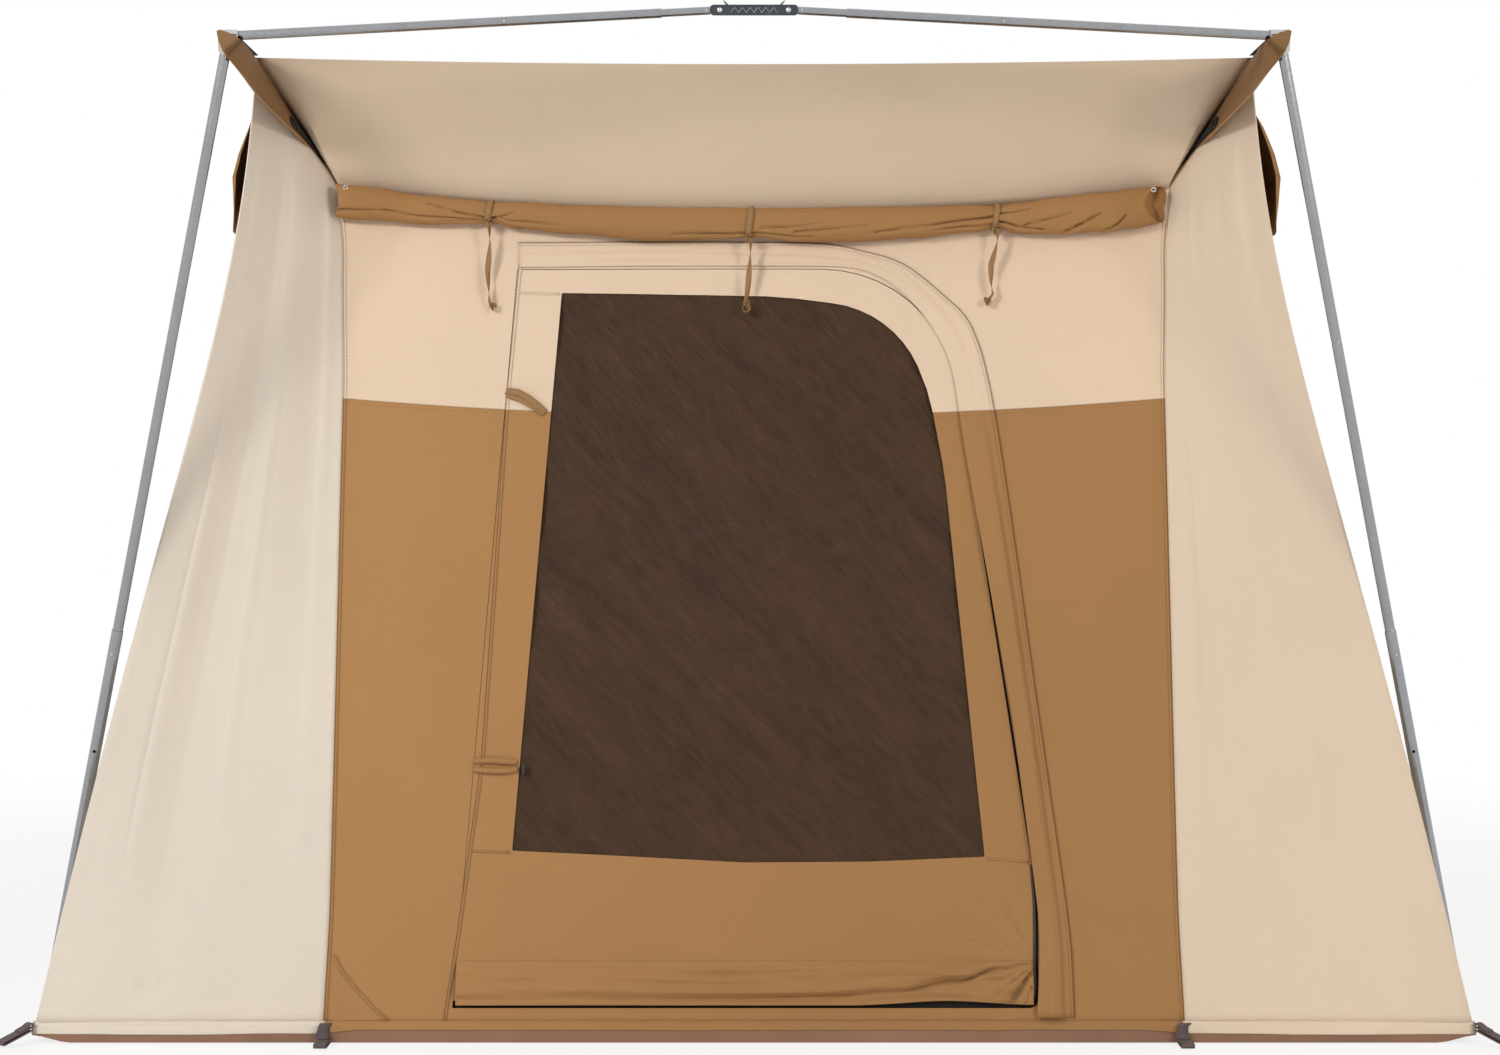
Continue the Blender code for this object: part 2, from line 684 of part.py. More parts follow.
def build_stake_loops():
    """One loop at each floor corner and one at the foot of each front panel seam."""
    for sign_x, across in ((-1, "left"), (1, "right")):
        for sign_y, end in ((-1, "front"), (1, "rear")):
            heading = math.atan2(sign_y, sign_x)
            build_stake_loop(f"stake_loop_{end}_{across}", sign_x * HALF, sign_y * HALF, heading)
        build_stake_loop(f"stake_loop_door_{across}", sign_x * PANEL_WIDTH / 2, -HALF, -math.pi / 2)


# Steel arches

def seat(obj, parent, x, z, angle=0.0):
    """Put a piece in its arch's plane at (x, z), with its own x axis turned up by angle."""
    obj.parent = parent
    obj.location = (x, 0, z)
    obj.rotation_euler = (0, -angle, 0)
    return obj


def mirrored(outline, side):
    """An outline of the right half, turned over for the left."""
    return [(x * side, z) for x, z in outline]


def riveted(x, z, radius, half_width):
    """Pin across a bracket with a head standing out on both faces."""
    far = half_width + RIVET_HEAD_HEIGHT
    pin = add_object("pin", cross_pin(x, z, radius, -far, far), "zinc")
    head_out = half_width - LINK_SHEET / 4
    near_head = add_object("head", cross_pin(x, z, RIVET_HEAD_RADIUS, -far, -head_out), "zinc")
    far_head = add_object("head", cross_pin(x, z, RIVET_HEAD_RADIUS, head_out, far), "zinc")
    return [pin, near_head, far_head]


def link_half_width():
    """Half of the link's outer width: the bar's tube, its clearance and one flange."""
    return BAR_INNER_RADIUS + HUB_SIDE_GAP + LINK_SHEET


def build_link(name):
    """Channel that joins the two bars, open on top, with two pivots and two latch pins."""
    half_width = link_half_width()
    inner = half_width - LINK_SHEET
    half = LINK_LENGTH / 2
    low = -LINK_HEIGHT / 2
    end = LINK_HEIGHT * 0.35
    outline = rounded_outline([(-half, low, end), (half, low, end), (half, -low, end),
                               (-half, -low, end)], math.radians(30))
    link = add_object(name, prism(outline, -half_width, -inner, flat), "dark_steel")
    tools = [add_object("flange", prism(outline, inner, half_width, flat), "dark_steel")]
    web = block((-WEB_LENGTH / 2, -half_width + LINK_SHEET / 2, low + LINK_SHEET / 4),
                (WEB_LENGTH / 2, half_width - LINK_SHEET / 2, low + LINK_SHEET))
    tools.append(add_object("web", web, "dark_steel"))
    for side in (-1, 1):
        tools.extend(riveted(side * PIVOT_X, 0, RIVET_RADIUS, half_width))
        x, z = LATCH_PIN
        pin = cross_pin(side * x, z, LATCH_PIN_RADIUS, -half_width - LINK_SHEET / 4,
                        half_width + LINK_SHEET / 4)
        tools.append(add_object("latch_pin", pin, "zinc"))
    return combine(link, tools, "UNION")


def build_latch(name, side):
    """Sprung latch on its pin: a nose that holds the bar down and a thumb tab."""
    half = LATCH_WIDTH / 2
    pin_x, pin_z = LATCH_PIN
    outline = [((x - pin_x) * side, z - pin_z) for x, z in LATCH_OUTLINE]
    latch = add_object(name, prism(outline, -half, half, flat), "zinc")
    hole = add_object("hole", cross_pin(0, 0, LATCH_PIN_RADIUS + TUBE_CLEARANCE, -LATCH_WIDTH,
                                        LATCH_WIDTH), "zinc")
    return combine(latch, [hole], "DIFFERENCE")


def side_hole(x, radius, depth):
    """Cutter for a snap button's hole in the face of a tube that points out of the tent."""
    return add_object("hole", cross_pin(x, 0, radius, -depth, 0), "steel")


def tube_profile(start, end, outer, wall):
    """Closed profile of a plain tube."""
    return [(start, outer), (end, outer), (end, outer - wall), (start, outer - wall)]


def build_bar_inner(name):
    """Inner bar tube with a round-ended tongue that turns on the link's pivot."""
    tube = tube_profile(TONGUE_LENGTH, BAR_INNER_LENGTH, BAR_INNER_RADIUS, BAR_WALL)
    bar = add_object(name, turned(tube), "steel")
    half = TONGUE_HEIGHT / 2
    width = BAR_INNER_RADIUS - BAR_WALL / 2
    into_tube = TONGUE_LENGTH + 2 * BAR_INNER_RADIUS
    reach = math.sqrt(width ** 2 - half ** 2)
    tongue = block((0, -reach, -half), (into_tube, reach, half))
    eye = cross_pin(0, 0, half, -reach, reach)
    collar_end = TONGUE_LENGTH + TONGUE_COLLAR
    collar = turned([(TONGUE_LENGTH, COLLAR_BORE), (TONGUE_LENGTH, width),
                     (collar_end, width), (collar_end, COLLAR_BORE)])
    parts = [add_object("tongue", tongue, "steel"), add_object("eye", eye, "steel"),
             add_object("collar", collar, "steel")]
    combine(bar, parts, "UNION")
    bore = cross_pin(0, 0, RIVET_RADIUS + TUBE_CLEARANCE, -2 * width, 2 * width)
    hole = side_hole(BAR_BUTTON_AT, BUTTON_RADIUS + BUTTON_HOLE_CLEARANCE, 2 * BAR_OUTER_RADIUS)
    return combine(bar, [add_object("bore", bore, "steel"), hole], "DIFFERENCE")


def bar_length():
    """Length of the whole bar from link pivot to hub."""
    return math.hypot(HUB_X - PIVOT_X, PIVOT_Z - HUB_Z)


def build_bar_outer(name):
    """Outer bar tube, slid over the inner one, with its end riveted in the hub."""
    profile = tube_profile(BAR_SLEEVE_START, bar_length(), BAR_OUTER_RADIUS, BAR_WALL)
    bar = add_object(name, turned(profile), "steel")
    hole = side_hole(BAR_BUTTON_AT, BUTTON_RADIUS + BUTTON_HOLE_CLEARANCE, 2 * BAR_OUTER_RADIUS)
    rivet = cross_pin(bar_length() - BAR_RIVET_BACK, 0, RIVET_RADIUS + TUBE_CLEARANCE,
                      -2 * BAR_OUTER_RADIUS, 2 * BAR_OUTER_RADIUS)
    return combine(bar, [hole, add_object("rivet_hole", rivet, "steel")], "DIFFERENCE")


def hub_half_width():
    """Half of the hub's outer width: the leg's tube, its clearance and one flange."""
    return LEG_RADIUS + HUB_SIDE_GAP + HUB_SHEET


def build_hub(name, side, bar_angle):
    """Folded bracket round the bar's end, with the leg's pivot pin under it."""
    half_width = hub_half_width()
    inner = half_width - HUB_SHEET
    climb = abs(HUB_OUTLINE[0][0] * math.tan(bar_angle))
    under = BAR_OUTER_RADIUS / math.cos(bar_angle) + climb + TUBE_CLEARANCE
    top = under + HUB_SHEET
    outline = [(x, top if z == 0 else z) for x, z in HUB_OUTLINE]
    outline = mirrored(outline, side)
    hub = add_object(name, prism(outline, -half_width, -inner, flat), "zinc")
    tools = [add_object("flange", prism(outline, inner, half_width, flat), "zinc")]
    low_x, high_x = sorted((HUB_OUTLINE[0][0] * side, HUB_OUTLINE[-1][0] * side))
    skin = HUB_SHEET / 4
    plate = block((low_x + skin, skin - half_width, under), (high_x - skin, half_width - skin, top - skin))
    tools.append(add_object("plate", plate, "zinc"))
    tools.extend(riveted(side * LEG_PIVOT_OUT, -LEG_PIVOT_DROP, LEG_PIN_RADIUS, half_width))
    back = BAR_RIVET_BACK
    rivet_x = -side * back * math.cos(bar_angle)
    rivet_z = -back * math.sin(bar_angle)
    tools.extend(riveted(rivet_x, rivet_z, RIVET_RADIUS, half_width))
    return combine(hub, tools, "UNION")


def leg_line():
    """Length of the leg from its pivot to the ground and its slope from the vertical."""
    x = HUB_X + LEG_PIVOT_OUT
    z = HUB_Z - LEG_PIVOT_DROP
    return math.hypot(ARCH_FOOT_X - x, z), math.atan2(ARCH_FOOT_X - x, z)


def build_leg_upper(name):
    """Upper leg tube with a joint groove, cross-drilled for its pivot and its button."""
    length, _ = leg_line()
    end = length - SLEEVE_LENGTH + SLEEVE_OVERLAP
    start = -LEG_TOP_ABOVE_PIVOT
    low = LEG_RADIUS - GROOVE_DEPTH
    profile = [(start, LEG_RADIUS), (LEG_GROOVE_AT, LEG_RADIUS), (LEG_GROOVE_AT, low),
               (LEG_GROOVE_AT + GROOVE_WIDTH, low), (LEG_GROOVE_AT + GROOVE_WIDTH, LEG_RADIUS),
               (end, LEG_RADIUS), (end, LEG_RADIUS - LEG_WALL), (start, LEG_RADIUS - LEG_WALL)]
    leg = add_object(name, turned(profile), "steel")
    bore = cross_pin(0, 0, LEG_PIN_RADIUS + TUBE_CLEARANCE, -2 * LEG_RADIUS, 2 * LEG_RADIUS)
    button_at = length - SLEEVE_LENGTH + LEG_BUTTON_BELOW_SLEEVE_TOP
    hole = side_hole(button_at, BUTTON_RADIUS + BUTTON_HOLE_CLEARANCE, 2 * LEG_RADIUS)
    return combine(leg, [add_object("bore", bore, "steel"), hole], "DIFFERENCE")


def build_leg_lower(name, arch, side):
    """Lower leg sleeve with its foot, cut flat where it stands on the ground."""
    length, _ = leg_line()
    start = length - SLEEVE_LENGTH
    bottom = length + FOOT_RADIUS
    inner = LEG_RADIUS + TUBE_CLEARANCE
    blind = length - FOOT_HEIGHT / 2
    profile = [(start, SLEEVE_RADIUS), (length - FOOT_HEIGHT, SLEEVE_RADIUS),
               (length - FOOT_HEIGHT * 0.8, FOOT_RADIUS * 0.88), (bottom, FOOT_RADIUS),
               (bottom, DRAIN_RADIUS), (blind, DRAIN_RADIUS), (blind, inner), (start, inner)]
    leg = add_object(name, turned(profile), "steel")
    earth = block((-2 * HALF, -2 * HALF, -HALF), (2 * HALF, 2 * HALF, 0))
    bmesh.ops.transform(earth, matrix=leg_matrix(arch, side).inverted(), verts=earth.verts)
    holes = [add_object("earth", earth, "steel")]
    for below in (LEG_BUTTON_BELOW_SLEEVE_TOP, SPARE_HOLE_BELOW_SLEEVE_TOP):
        holes.append(side_hole(start + below, BUTTON_RADIUS + BUTTON_HOLE_CLEARANCE,
                               2 * SLEEVE_RADIUS))
    return combine(leg, holes, "DIFFERENCE")


def leg_angle(side):
    """Turn of the leg's own x axis in the arch plane, from the pivot down to the ground."""
    _, slope = leg_line()
    return -math.pi / 2 + slope if side > 0 else -math.pi / 2 - slope


def leg_matrix(arch, side):
    """Where the leg's own frame stands in the world."""
    x = side * (HUB_X + LEG_PIVOT_OUT)
    place = Matrix.Translation((x, 0, HUB_Z - LEG_PIVOT_DROP))
    return arch.matrix_world @ place @ Matrix.Rotation(-leg_angle(side), 4, "Y")


def build_button(name, tube_outer, inner_wall):
    """Snap button: a domed pin through both tubes on a leaf spring inside the inner one."""
    leaf_face = inner_wall - LEAF_INSET
    tip = tube_outer + BUTTON_STANDS_OUT
    profile = [(leaf_face, BUTTON_CORE), (leaf_face, BUTTON_RADIUS),
               (tip - BUTTON_DOME, BUTTON_RADIUS), (tip - BUTTON_DOME_EDGE, BUTTON_FACE_RADIUS),
               (tip, BUTTON_CORE)]
    bm = turned(profile, sides=12)
    bmesh.ops.rotate(bm, verts=bm.verts, cent=(0, 0, 0), matrix=Matrix.Rotation(-math.pi / 2, 3, "Z"))
    button = add_object(name, bm, "zinc")
    half = LEAF_WIDTH / 2
    leaf = block((-LEAF_LENGTH / 2, -leaf_face - LEAF_SHEET / 4, -half),
                 (LEAF_LENGTH / 2, -leaf_face + LEAF_SHEET, half))
    return combine(button, [add_object("leaf", leaf, "zinc")], "UNION")


def build_arch(end, sign):
    """One folding arch over the end wall at y = sign * HALF."""
    arch = bpy.data.objects.new(f"{end}_arch", None)
    bpy.context.scene.collection.objects.link(arch)
    arch.location = (0, sign * (HALF - ARCH_FOOT_INSET), 0)
    arch.rotation_euler = (ARCH_LEAN, 0, 0 if sign < 0 else math.pi)
    bpy.context.view_layer.update()
    seat(build_link(f"{end}_link"), arch, 0, PIVOT_Z)
    droop = math.atan2(HUB_Z - PIVOT_Z, HUB_X - PIVOT_X)
    length, _ = leg_line()
    for side in (-1, 1):
        across = "right" if side * sign < 0 else "left"
        angle = droop if side > 0 else math.pi - droop
        pivot_x = side * PIVOT_X
        pin_x, pin_z = LATCH_PIN
        seat(build_latch(f"{end}_latch_{across}", side), arch, side * pin_x, PIVOT_Z + pin_z)
        seat(build_bar_inner(f"{end}_bar_inner_{across}"), arch, pivot_x, PIVOT_Z, angle)
        seat(build_bar_outer(f"{end}_bar_outer_{across}"), arch, pivot_x, PIVOT_Z, angle)
        seat(build_hub(f"{end}_hub_{across}", side, droop), arch, side * HUB_X, HUB_Z)
        button = build_button(f"{end}_bar_button_{across}", BAR_OUTER_RADIUS,
                              BAR_INNER_RADIUS - BAR_WALL)
        seat(button, arch, pivot_x + BAR_BUTTON_AT * math.cos(angle),
             PIVOT_Z + BAR_BUTTON_AT * math.sin(angle), angle)
        leg_x = side * (HUB_X + LEG_PIVOT_OUT)
        leg_z = HUB_Z - LEG_PIVOT_DROP
        turn = leg_angle(side)
        seat(build_leg_upper(f"{end}_leg_upper_{across}"), arch, leg_x, leg_z, turn)
        seat(build_leg_lower(f"{end}_leg_lower_{across}", arch, side), arch, leg_x, leg_z, turn)
        button_at = length - SLEEVE_LENGTH + LEG_BUTTON_BELOW_SLEEVE_TOP
        button = build_button(f"{end}_leg_button_{across}", SLEEVE_RADIUS, LEG_RADIUS - LEG_WALL)
        seat(button, arch, leg_x + button_at * math.cos(turn), leg_z + button_at * math.sin(turn), turn)


def build_tent():
    """Build every piece of the tent."""
    clear_scene()
    build_tub()
    panels, offsets = build_skin()
    build_door(panels["front_panel"])
    build_windows(panels)
    build_awning_roll("front_awning", -1)
    build_awning_roll("rear_awning", 1)
    for sign, across in ((-1, "left"), (1, "right")):
        build_side_awning(f"side_awning_{across}", sign)
        build_gusset(f"front_gusset_{across}", sign, -1, offsets)
        build_gusset(f"rear_gusset_{across}", sign, 1, offsets)
    build_stake_loops()
    build_arch("front", -1)
    build_arch("rear", 1)


build_tent()
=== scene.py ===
# %% [markdown]
# # A canvas tent under two folding steel arches
#
# The tent hangs between two steel arches. The frame that is loaded here holds every rigid
# piece at its real place and size. This lesson dresses it: it swaps the plain canvas solids
# for sheets of cloth with folds, hems and seams, and it gives the steel and the cloth their
# finishes. Everything is in metres, with the door facing -Y.

# %% Load the frame
import math
from functools import partial

import bmesh
import bpy
from mathutils import Matrix, Vector, noise


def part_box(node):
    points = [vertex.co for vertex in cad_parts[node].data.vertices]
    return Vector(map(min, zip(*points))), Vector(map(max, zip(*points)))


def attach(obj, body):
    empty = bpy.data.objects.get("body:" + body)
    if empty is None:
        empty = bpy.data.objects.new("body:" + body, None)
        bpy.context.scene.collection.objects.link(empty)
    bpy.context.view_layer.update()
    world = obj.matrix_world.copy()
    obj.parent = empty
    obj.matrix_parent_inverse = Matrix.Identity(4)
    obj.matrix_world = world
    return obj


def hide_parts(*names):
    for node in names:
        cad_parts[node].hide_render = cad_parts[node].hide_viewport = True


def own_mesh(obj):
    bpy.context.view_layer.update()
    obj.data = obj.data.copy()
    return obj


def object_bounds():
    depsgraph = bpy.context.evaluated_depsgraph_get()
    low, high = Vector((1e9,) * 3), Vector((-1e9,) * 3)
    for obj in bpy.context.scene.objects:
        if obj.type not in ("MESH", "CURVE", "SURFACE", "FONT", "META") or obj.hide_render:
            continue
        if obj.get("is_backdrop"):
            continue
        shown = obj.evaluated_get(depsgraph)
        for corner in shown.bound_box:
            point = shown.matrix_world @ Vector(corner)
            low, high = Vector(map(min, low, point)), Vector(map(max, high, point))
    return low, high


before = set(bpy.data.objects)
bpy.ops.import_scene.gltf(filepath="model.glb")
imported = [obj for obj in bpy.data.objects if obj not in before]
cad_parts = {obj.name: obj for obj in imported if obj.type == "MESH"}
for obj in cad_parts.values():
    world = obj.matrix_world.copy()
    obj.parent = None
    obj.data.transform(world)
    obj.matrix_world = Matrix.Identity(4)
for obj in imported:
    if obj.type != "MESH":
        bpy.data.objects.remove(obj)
cad_box = [list(corner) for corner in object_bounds()]
print("frame nodes:", len(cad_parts))

# %% [markdown]
# ## Sizes
#
# The big sizes are read from the frame, so the cloth always fits it. The rest are the real
# sizes of the canvas work, each named once. Most pieces come in pairs or fours, so the sides,
# the ends and the corners are listed here too, each with its sign and its word.

# %% Sizes of the canvas body
tub_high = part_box("floor_tub")[1]
roof_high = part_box("roof_canopy")[1]
HALF = tub_high.x
RIM = tub_high.z
ROOF_HALF = roof_high.x
ROOF_TOP = roof_high.z
ROOF_EDGE = roof_high.y
ROOF_SAG = 0.012
EDGE_SAG = 0.014
ROOF_SETBACK = HALF - ROOF_EDGE
SIDE_LEAN = (HALF - ROOF_HALF) / ROOF_TOP
PANEL_LEAN = 0.200
PANEL_HALF = 0.904
SEAM_ROWS = [(0.00, 0.909), (0.30, 0.902), (1.36, 0.905), (1.69, 0.914), (1.85, 0.929),
             (1.91, 0.965)]
BROW_Z = 1.784
BROW_BOW = 0.061
TIP_X = 0.965
TIP_Z = 1.910
TIP_SPREAD = 0.955
FOOT = RIM + 0.001
CORNER_HOLLOW = 0.030
WEDGE_HOLLOW = 0.022
CORNER_DRAW = 0.042
CORNER_DRAW_RISE = 2.4
CORNER_DRAW_FROM = 0.800
CLOTH = 0.0012
SIDES = ((-1, "left"), (1, "right"))
ENDS = ((-1, "front"), (1, "rear"))
CORNERS = [(sign_x, sign_y, end, across) for sign_x, across in SIDES for sign_y, end in ENDS]
print("floor", round(2 * HALF, 3), "m, roof at", round(ROOF_TOP, 3), "m")

# %% [markdown]
# ## The photograph's view
#
# The camera stands level with the middle of the front, about six metres away. A long lens
# keeps the front wall square, as in the picture.

# %% Camera
scene = bpy.context.scene
CAMERA_PLACE = (-0.0084, -7.524, 1.086)
CAMERA_LENS = 68.4


def add_object(name, data):
    """New object, linked to the scene."""
    made = bpy.data.objects.new(name, data)
    scene.collection.objects.link(made)
    return made


camera_data = bpy.data.cameras.new("camera")
camera_data.lens = CAMERA_LENS
camera_data.sensor_width = 36
camera_data.dof.use_dof = False
camera = add_object("camera", camera_data)
camera.location = CAMERA_PLACE
camera.rotation_euler = (math.pi / 2, 0, 0)
scene.camera = camera
scene.view_settings.view_transform = "Standard"

# %% [markdown]
# ## Shader maths in plain Python
#
# A finish is a material whose pattern comes from small sums. The function add_node adds one
# node to any tree. The class Wire wraps one socket, so that an expression such as 1 - mask
# adds the Math nodes by itself. The class Finish makes a material, and its method node adds
# every other kind of node to it.

# %% Wire and Finish
def add_node(tree, kind, settings=None, values=None):
    """Add a node: its settings first, then the value or the socket of each input."""
    made = tree.nodes.new(kind)
    for key, value in (settings or {}).items():
        setattr(made, key, value)
    for key, value in (values or {}).items():
        if isinstance(value, bpy.types.NodeSocket):
            tree.links.new(value, made.inputs[key])
        else:
            made.inputs[key].default_value = value
    return made


class Wire:
    """One socket of a finish, with Python's operators as Math nodes."""

    def __init__(self, finish, socket):
        self.finish = finish
        self.socket = socket

    def math(self, operation, *others):
        return self.finish.node("ShaderNodeMath", {"operation": operation}, [self, *others])

    def __add__(self, other):
        return self.math("ADD", other)

    def __mul__(self, other):
        return self.math("MULTIPLY", other)

    def __sub__(self, other):
        return self.math("SUBTRACT", other)

    def __rsub__(self, other):
        return self.finish.node("ShaderNodeMath", {"operation": "SUBTRACT"}, [other, self])

    def __truediv__(self, other):
        return self.math("DIVIDE", other)

    def __gt__(self, other):
        return self.math("GREATER_THAN", other)

    __radd__ = __add__
    __rmul__ = __mul__

    def sine(self):
        return self.math("SINE")

    def absolute(self):
        return self.math("ABSOLUTE")

    def fraction(self):
        return self.math("FRACT")


class Finish:
    """A Principled material built from wires."""

    def __init__(self, name, colour, roughness, metallic=0.0, specular=0.5):
        self.material = bpy.data.materials.new(name)
        self.material.use_nodes = True
        self.tree = self.material.node_tree
        self.shader = self.tree.nodes["Principled BSDF"]
        for key, value in (("Base Color", (*colour, 1.0)), ("Roughness", roughness),
                           ("Metallic", metallic), ("Specular IOR Level", specular)):
            self.shader.inputs[key].default_value = value

    def node(self, kind, settings=None, values=(), output=0):
        """Add a node with wires or plain values on its inputs, and wrap one output."""
        pairs = values.items() if isinstance(values, dict) else enumerate(values)
        plain = {key: value.socket if isinstance(value, Wire) else value for key, value in pairs}
        return Wire(self, add_node(self.tree, kind, settings, plain).outputs[output])

    def place(self, scale=(1, 1, 1), turn=0.0, source="Object"):
        """Object or UV coordinates in metres, turned about z and scaled."""
        raw = self.node("ShaderNodeTexCoord", output=source)
        return self.node("ShaderNodeMapping", {"vector_type": "POINT"},
                         {"Vector": raw, "Rotation": (0, 0, turn), "Scale": scale})

    def axes(self, vector):
        """The three parts of a vector."""
        first = self.node("ShaderNodeSeparateXYZ", values=[vector])
        return [Wire(self, part) for part in first.socket.node.outputs]

    def cloud(self, vector, scale, detail=2.0, rough=0.5, twist=0.0):
        """Soft noise from 0 to 1."""
        return self.node("ShaderNodeTexNoise", values={
            "Vector": vector, "Scale": scale, "Detail": detail, "Roughness": rough,
            "Distortion": twist})

    def fold(self):
        """How deep the surface lies in a fold, as grid_sheet notes it: ridges are negative."""
        return self.node("ShaderNodeAttribute", {"attribute_name": "fold"}, output="Fac")

    def blend(self, share, low, high):
        """Colour between two colours."""
        def full(tint):
            return tint if isinstance(tint, Wire) else (*tint, 1.0)
        return self.node("ShaderNodeMix", {"data_type": "RGBA", "clamp_factor": True},
                         {0: share, 6: full(low), 7: full(high)}, output=2)

    def between(self, value, low, high):
        """A value stretched so that low becomes 0 and high becomes 1, clamped."""
        return self.node("ShaderNodeMapRange", {"clamp": True}, [value, low, high, 0.0, 1.0])

    def colour(self, wire):
        self.tree.links.new(wire.socket, self.shader.inputs["Base Color"])

    def rough(self, wire):
        self.tree.links.new(wire.socket, self.shader.inputs["Roughness"])

    def relief(self, height):
        """Bump from a height in metres."""
        bump = self.node("ShaderNodeBump", values={
            "Strength": 1.0, "Distance": 1.0, "Height": height}, output="Normal")
        self.tree.links.new(bump.socket, self.shader.inputs["Normal"])


# %% [markdown]
# ## Light and floor
#
# One large soft lamp stands to the left of the camera and a weaker one to the right, so the
# left corner of the canvas is a little brighter than the right one. The world fills the
# shadows, and shows as white behind the tent. The floor is pale and keeps a faint shadow.

# %% Lamps, world and floor
LAMP_AIM = Vector((0, 0, 1.0))


def add_lamp(name, place, size, power, tint=(1, 1, 1)):
    """Soft square lamp that points at the middle of the tent."""
    data = bpy.data.lights.new(name, "AREA")
    data.shape = "SQUARE"
    data.size = size
    data.energy = power
    data.color = tint
    lamp = add_object(name, data)
    lamp.location = place
    lamp.rotation_euler = (LAMP_AIM - Vector(place)).to_track_quat("-Z", "Y").to_euler()


add_lamp("key_lamp", (-4.2, -6.2, 3.6), 1.1, 172, (1.0, 0.985, 0.975))
add_lamp("fill_lamp", (4.4, -6.2, 3.0), 1.1, 98, (1.0, 0.91, 0.80))
add_lamp("back_lamp", (2.0, 7.0, 5.0), 4.0, 110)


def white_to_camera(tree, lit_shader, output, share, fade=None):
    """Mix a shader with plain white where the camera or a reflection looks at it.

    Where fade is given as (near, far), the white grows to full between these distances.
    """
    rays = add_node(tree, "ShaderNodeLightPath").outputs
    seen = rays["Is Camera Ray"]
    for kind in ("Is Glossy Ray", "Is Transmission Ray"):
        seen = add_node(tree, "ShaderNodeMath", {"operation": "MAXIMUM"},
                        {0: seen, 1: rays[kind]}).outputs[0]
    amount = share
    if fade:
        place = add_node(tree, "ShaderNodeTexCoord").outputs["Object"]
        distance = add_node(tree, "ShaderNodeVectorMath", {"operation": "LENGTH"}, {0: place})
        amount = add_node(tree, "ShaderNodeMapRange", {"interpolation_type": "SMOOTHSTEP"}, {
            "Value": distance.outputs["Value"], "From Min": fade[0], "From Max": fade[1],
            "To Min": share, "To Max": 1.0}).outputs[0]
    part = add_node(tree, "ShaderNodeMath", {"operation": "MULTIPLY"}, {0: seen, 1: amount})
    white = add_node(tree, "ShaderNodeEmission" if share < 1 else "ShaderNodeBackground",
                     values={"Strength": 1.0, "Color": (1, 1, 1, 1)})
    mixed = add_node(tree, "ShaderNodeMixShader", values={
        "Fac": part.outputs[0], 1: lit_shader, 2: white.outputs[0]})
    tree.links.new(mixed.outputs[0], output)


WORLD_FILL = 0.47
world = bpy.data.worlds.new("studio")
scene.world = world
world.use_nodes = True
world_nodes = world.node_tree.nodes
glow = world_nodes["Background"]
glow.inputs["Color"].default_value = (1.0, 1.0, 1.0, 1.0)
glow.inputs["Strength"].default_value = WORLD_FILL
world_output = world_nodes["World Output"].inputs["Surface"]
white_to_camera(world.node_tree, glow.outputs[0], world_output, 1.0)


def mesh_from(name, bm):
    """Mesh with the shape of a bmesh, which is then freed."""
    mesh = bpy.data.meshes.new(name)
    bm.to_mesh(mesh)
    bm.free()
    return mesh


FLOOR_REACH = 300.0
FLOOR_DROP = 0.001
FLOOR_WHITE = 0.80
FLOOR_FADE = (2.4, 6.0)
floor_bm = bmesh.new()
bmesh.ops.create_grid(floor_bm, x_segments=2, y_segments=2, size=FLOOR_REACH)
bmesh.ops.translate(floor_bm, verts=floor_bm.verts, vec=(0, 0, -FLOOR_DROP))
studio_floor = add_object("studio_floor", mesh_from("studio_floor", floor_bm))
floor_finish = Finish("studio_floor", (0.92, 0.92, 0.92), 0.9)
floor_output = floor_finish.tree.nodes["Material Output"].inputs["Surface"]
white_to_camera(floor_finish.tree, floor_finish.shader.outputs[0], floor_output, FLOOR_WHITE,
                FLOOR_FADE)
studio_floor.data.materials.append(floor_finish.material)
studio_floor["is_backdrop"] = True

# %% [markdown]
# ## Cloth finishes
#
# The canvas is a plain weave of cotton. Up close it is a grid of threads about a millimetre
# apart, with a thicker thread here and there. Further off it shows soft clouds where it has
# been handled, and shallow creases from the bag. The weave follows each sheet's own UV map,
# which is in metres, and the creases follow the object's place. The hollows of the folds are
# painted darker, as painted shade. Each sheet notes its own hollows when it is made.

# %% Colours, written as a surface would reflect them
def tint_of(code):
    """Linear colour of a hexadecimal colour code."""
    parts = [int(code[k:k + 2], 16) / 255 for k in (0, 2, 4)]
    return tuple(c / 12.92 if c <= 0.04045 else ((c + 0.055) / 1.055) ** 2.4 for c in parts)


TAN = tint_of("E8D0B6")
# Painted light: both sides are the same cream canvas; the left is tinted cooler and the right
# warmer, for the light that falls on each side.
CREAM_LEFT_PAINTED_LIGHT = tint_of("E9DDCE")
CREAM_RIGHT_PAINTED_LIGHT = tint_of("E9D6BF")
BROW_TAN = tint_of("DDC9B1")
BROWN = tint_of("AC8153")
AWNING_BROWN = tint_of("A67C4E")
DARK_BROWN = tint_of("8E6B48")
NETTING = tint_of("443021")
TUB_PINK = tint_of("8E6951")
WEBBING = tint_of("6A5D5E")
BINDING = tint_of("B08C60")


def shade(tint, factor):
    """A colour made darker or lighter."""
    return tuple(min(1.0, part * factor) for part in tint)


# %% Weave, clouds and creases
THREAD = 0.0011
WEAVE_DEPTH = 0.00009
CANVAS_SPECULAR = 0.25


def weave_height(finish):
    """Height of a plain weave over the UV map."""
    u, v, _ = finish.axes(finish.place(source="UV"))
    turns = 2 * math.pi / THREAD
    return (u * turns).sine() * (v * turns).sine() * WEAVE_DEPTH


